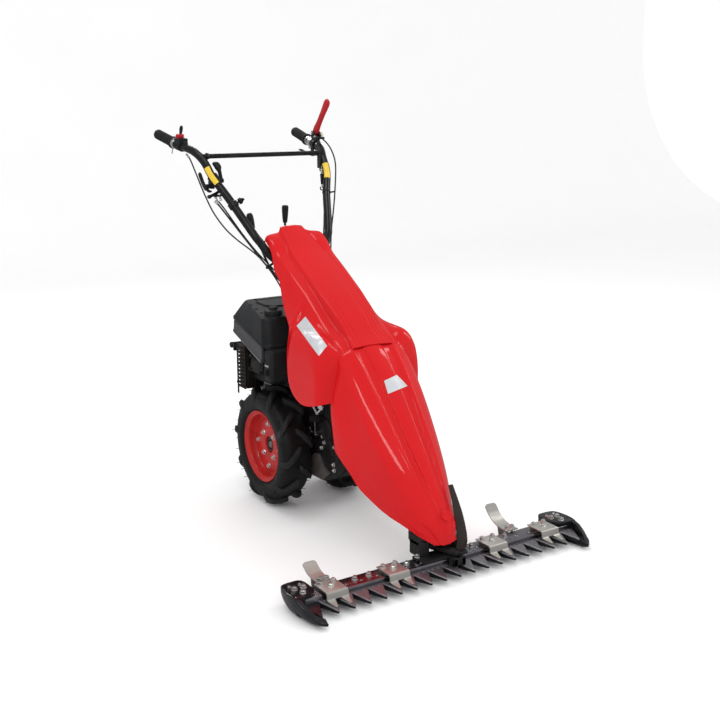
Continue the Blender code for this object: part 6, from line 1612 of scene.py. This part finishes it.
def makeGearbox():
    half = gearSizes["half"]
    outline = smoothLoop(gearSizes["side"], 0.016, 6)
    parts = [rounded(slab([(-half, p.x, p.y) for p in outline], (2 * half, 0, 0)), 0.007, 4, 60)]
    middle = sum(outline, Vector((0, 0))) / len(outline)
    flange = [p + (p - middle).normalized() * 0.003 for p in outline]
    parts.append(rounded(slab([(-0.005, p.x, p.y) for p in flange], (0.01, 0, 0)), 0.0012, 2, 60))
    for side in (-1, 1):
        for y, z, r, high in gearSizes["bosses"]:
            parts.append(lathe((side * half, y, z), (side, 0, 0),
                [(-0.004, r + 0.003), (high * 0.6, r + 0.0012), (high - 0.001, r), (high, r - 0.0014),
                (high, r * 0.62), (high - 0.003, r * 0.56), (high - 0.003, 0.01)], 48))
        for y0, z0, y1, z1 in ((0.64, 0.34, 0.64, 0.48), (0.836, 0.262, 0.92, 0.3),
                (0.745, 0.25, 0.66, 0.285), (0.79, 0.29, 0.79, 0.345), (0.6, 0.22, 0.62, 0.268)):
            rib = pipe([(side * half, y0, z0), (side * half, y1, z1)], 0.0045, 8)
            parts.append(rib)
    bearing = [(-0.07, 0.017), (-0.07, 0.033), (0.07, 0.033), (0.07, 0.017)]
    parts.append(lathe((0, wheelSizes["axleY"], wheelSizes["axleZ"]), (1, 0, 0), bearing, 40, loop=True))
    parts.append(roundBox((-0.052, 0.655, 0.575), (-0.036, 0.675, 0.599), 0.002))
    parts.append(pipe([(-0.046, 0.665, 0.593), (-0.066, 0.665, 0.593)], 0.0029, 16))
    settle("gear_case", parts, "castBlack", "gearbox", angle=40)
    for side in (-1, 1):
        belly = rounded(slab([(side * (half - 0.004), p.x, p.y)
            for p in smoothLoop(gearSizes["belly"], 0.006)], (side * 0.014, 0, 0)), 0.004, 3, 50)
        settle("gear_belly_" + ("left" if side > 0 else "right"), belly, "castDusty", angle=50)
    spots = [((side * half, y, z), (side, 0, 0)) for side in (-1, 1) for y, z in gearSizes["bolts"]]
    nuts("gear_bolts", spots, (0.012, 0.006, 0.0036, 0.003))


def coil(start, end, radius, wire, turns):
    way = Vector(end) - Vector(start)
    axis = way.normalized()
    side = axis.orthogonal().normalized()
    other = axis.cross(side)
    points = []
    steps = turns * 14
    for k in range(int(steps) + 1):
        a = fullTurn * k / 14
        points.append(Vector(start) + way * (k / steps) + (side * math.cos(a) + other * math.sin(a)) * radius)
    return pipe(points, wire, 6)


def makeLinkage():
    # Clutch and gear linkage on the right side of the gearbox, under the hood
    x = -0.072
    white = [pipe([(x, 0.7, 0.366), (x, 0.676, 0.346), (x, 0.638, 0.377)], 0.0034, 10),
        roundBox((x - 0.002, 0.64, 0.366), (x + 0.002, 0.668, 0.38), 0.0015)]
    settle("linkage_fork", white, "plateSilver")
    settle("linkage_spring", coil((x, 0.712, 0.321), (x, 0.645, 0.338), 0.0105, 0.0019, 8), "tubeBlack",
        slotName="steel")
    lever = [pipe(curveOf([(-0.066, 0.736, 0.286), (-0.066, 0.722, 0.27), (-0.066, 0.7, 0.268),
        (-0.066, 0.662, 0.29)], 0.004), 0.0034, 10), pipe([(x, 0.69, 0.322), (-0.066, 0.7, 0.27)], 0.0012, 8),
        lathe((-0.058, 0.7, 0.268), (-1, 0, 0), [(0.0, 0.008), (0.012, 0.008)], 20)]
    settle("linkage_lever", lever, "zinc")
    rods = [pipe([(-0.064, 0.94, 0.333), (-0.064, 0.851, 0.313)], 0.003, 10),
        roundBox((-0.066, 0.802, 0.3), (-0.06, 0.85, 0.345), 0.003)]
    settle("brake_strut", rods, "axleSteel")
    base = [roundBox((-0.074, 0.985, 0.34), (0.074, 1.075, 0.384), 0.006),
        roundBox((-0.074, 0.9, 0.362), (0.074, 0.99, 0.378), 0.004)]
    settle("engine_base", base, "tubeBlack")
    rail = [pipe([(-0.078, 1.03, 0.376), (-0.078, 0.93, 0.382)], 0.005, 12),
        roundBox((-0.082, 1.02, 0.366), (-0.074, 1.044, 0.384), 0.003)]
    settle("engine_rail", rail, "axleSteel")


# Blank plates, laid on the hood along the camera's own lines. Corners are pixels of the photograph.
plateGrid, plateProud, plateSunk = (30, 20), 0.0011, 0.0006
plates = {
    "cheek_plate": ("upper_shell", ((305.6, 316.7), (327.0, 346.0), (318.9, 356.0), (296.7, 326.0))),
    "nose_plate": ("nose_shell", ((384.0, 381.0), (396.7, 375.0), (407.5, 386.0), (388.0, 394.0))),
}


def makePlate(name):
    carrierName, corners = plates[name]
    carrier = bpy.data.objects[carrierName]
    tree = BVHTree.FromObject(carrier, bpy.context.evaluated_depsgraph_get())
    eye = scene.camera.matrix_world
    centre, focus = camera["centre"], camera["focus"]
    a, b, c, d = [Vector(corner) for corner in corners]
    top, low = [], []
    along, over = plateGrid
    for i in range(along + 1):
        upper, lower = [], []
        for k in range(over + 1):
            spot = a.lerp(b, i / along).lerp(d.lerp(c, i / along), k / over)
            ray = Vector(((spot.x - centre) / focus, (centre - spot.y) / focus, -1))
            ray = (eye.to_3x3() @ ray).normalized()
            hit, normal = tree.ray_cast(eye.translation, ray)[:2]
            normal = normal if normal.dot(ray) < 0 else -normal
            hit = hit + Vector((0, middleY, 0))
            upper.append(hit + normal * plateProud)
            lower.append(hit - normal * plateSunk)
        top.append(upper)
        low.append(lower)
    settle(name, skin([u + l[::-1] for u, l in zip(top, low)]), "plateSilver", slotName="plastic", angle=50)


makeCastings()
makeFingers()
makeBar()
makeKnife()
for number, place in enumerate((-7.5, -3.5, 3.5, 7.5), 1):
    makeHoldDown(number, place)
makeSkid("left")
makeSkid("right")
makeShoe("left", 1)
makeShoe("right", -1)
makeGuard()
makeDrive()
print("cutter bar made")
makeGearbox()
makeLinkage()
for name in plates:
    makePlate(name)
print("gearbox, linkage and blank plates made")
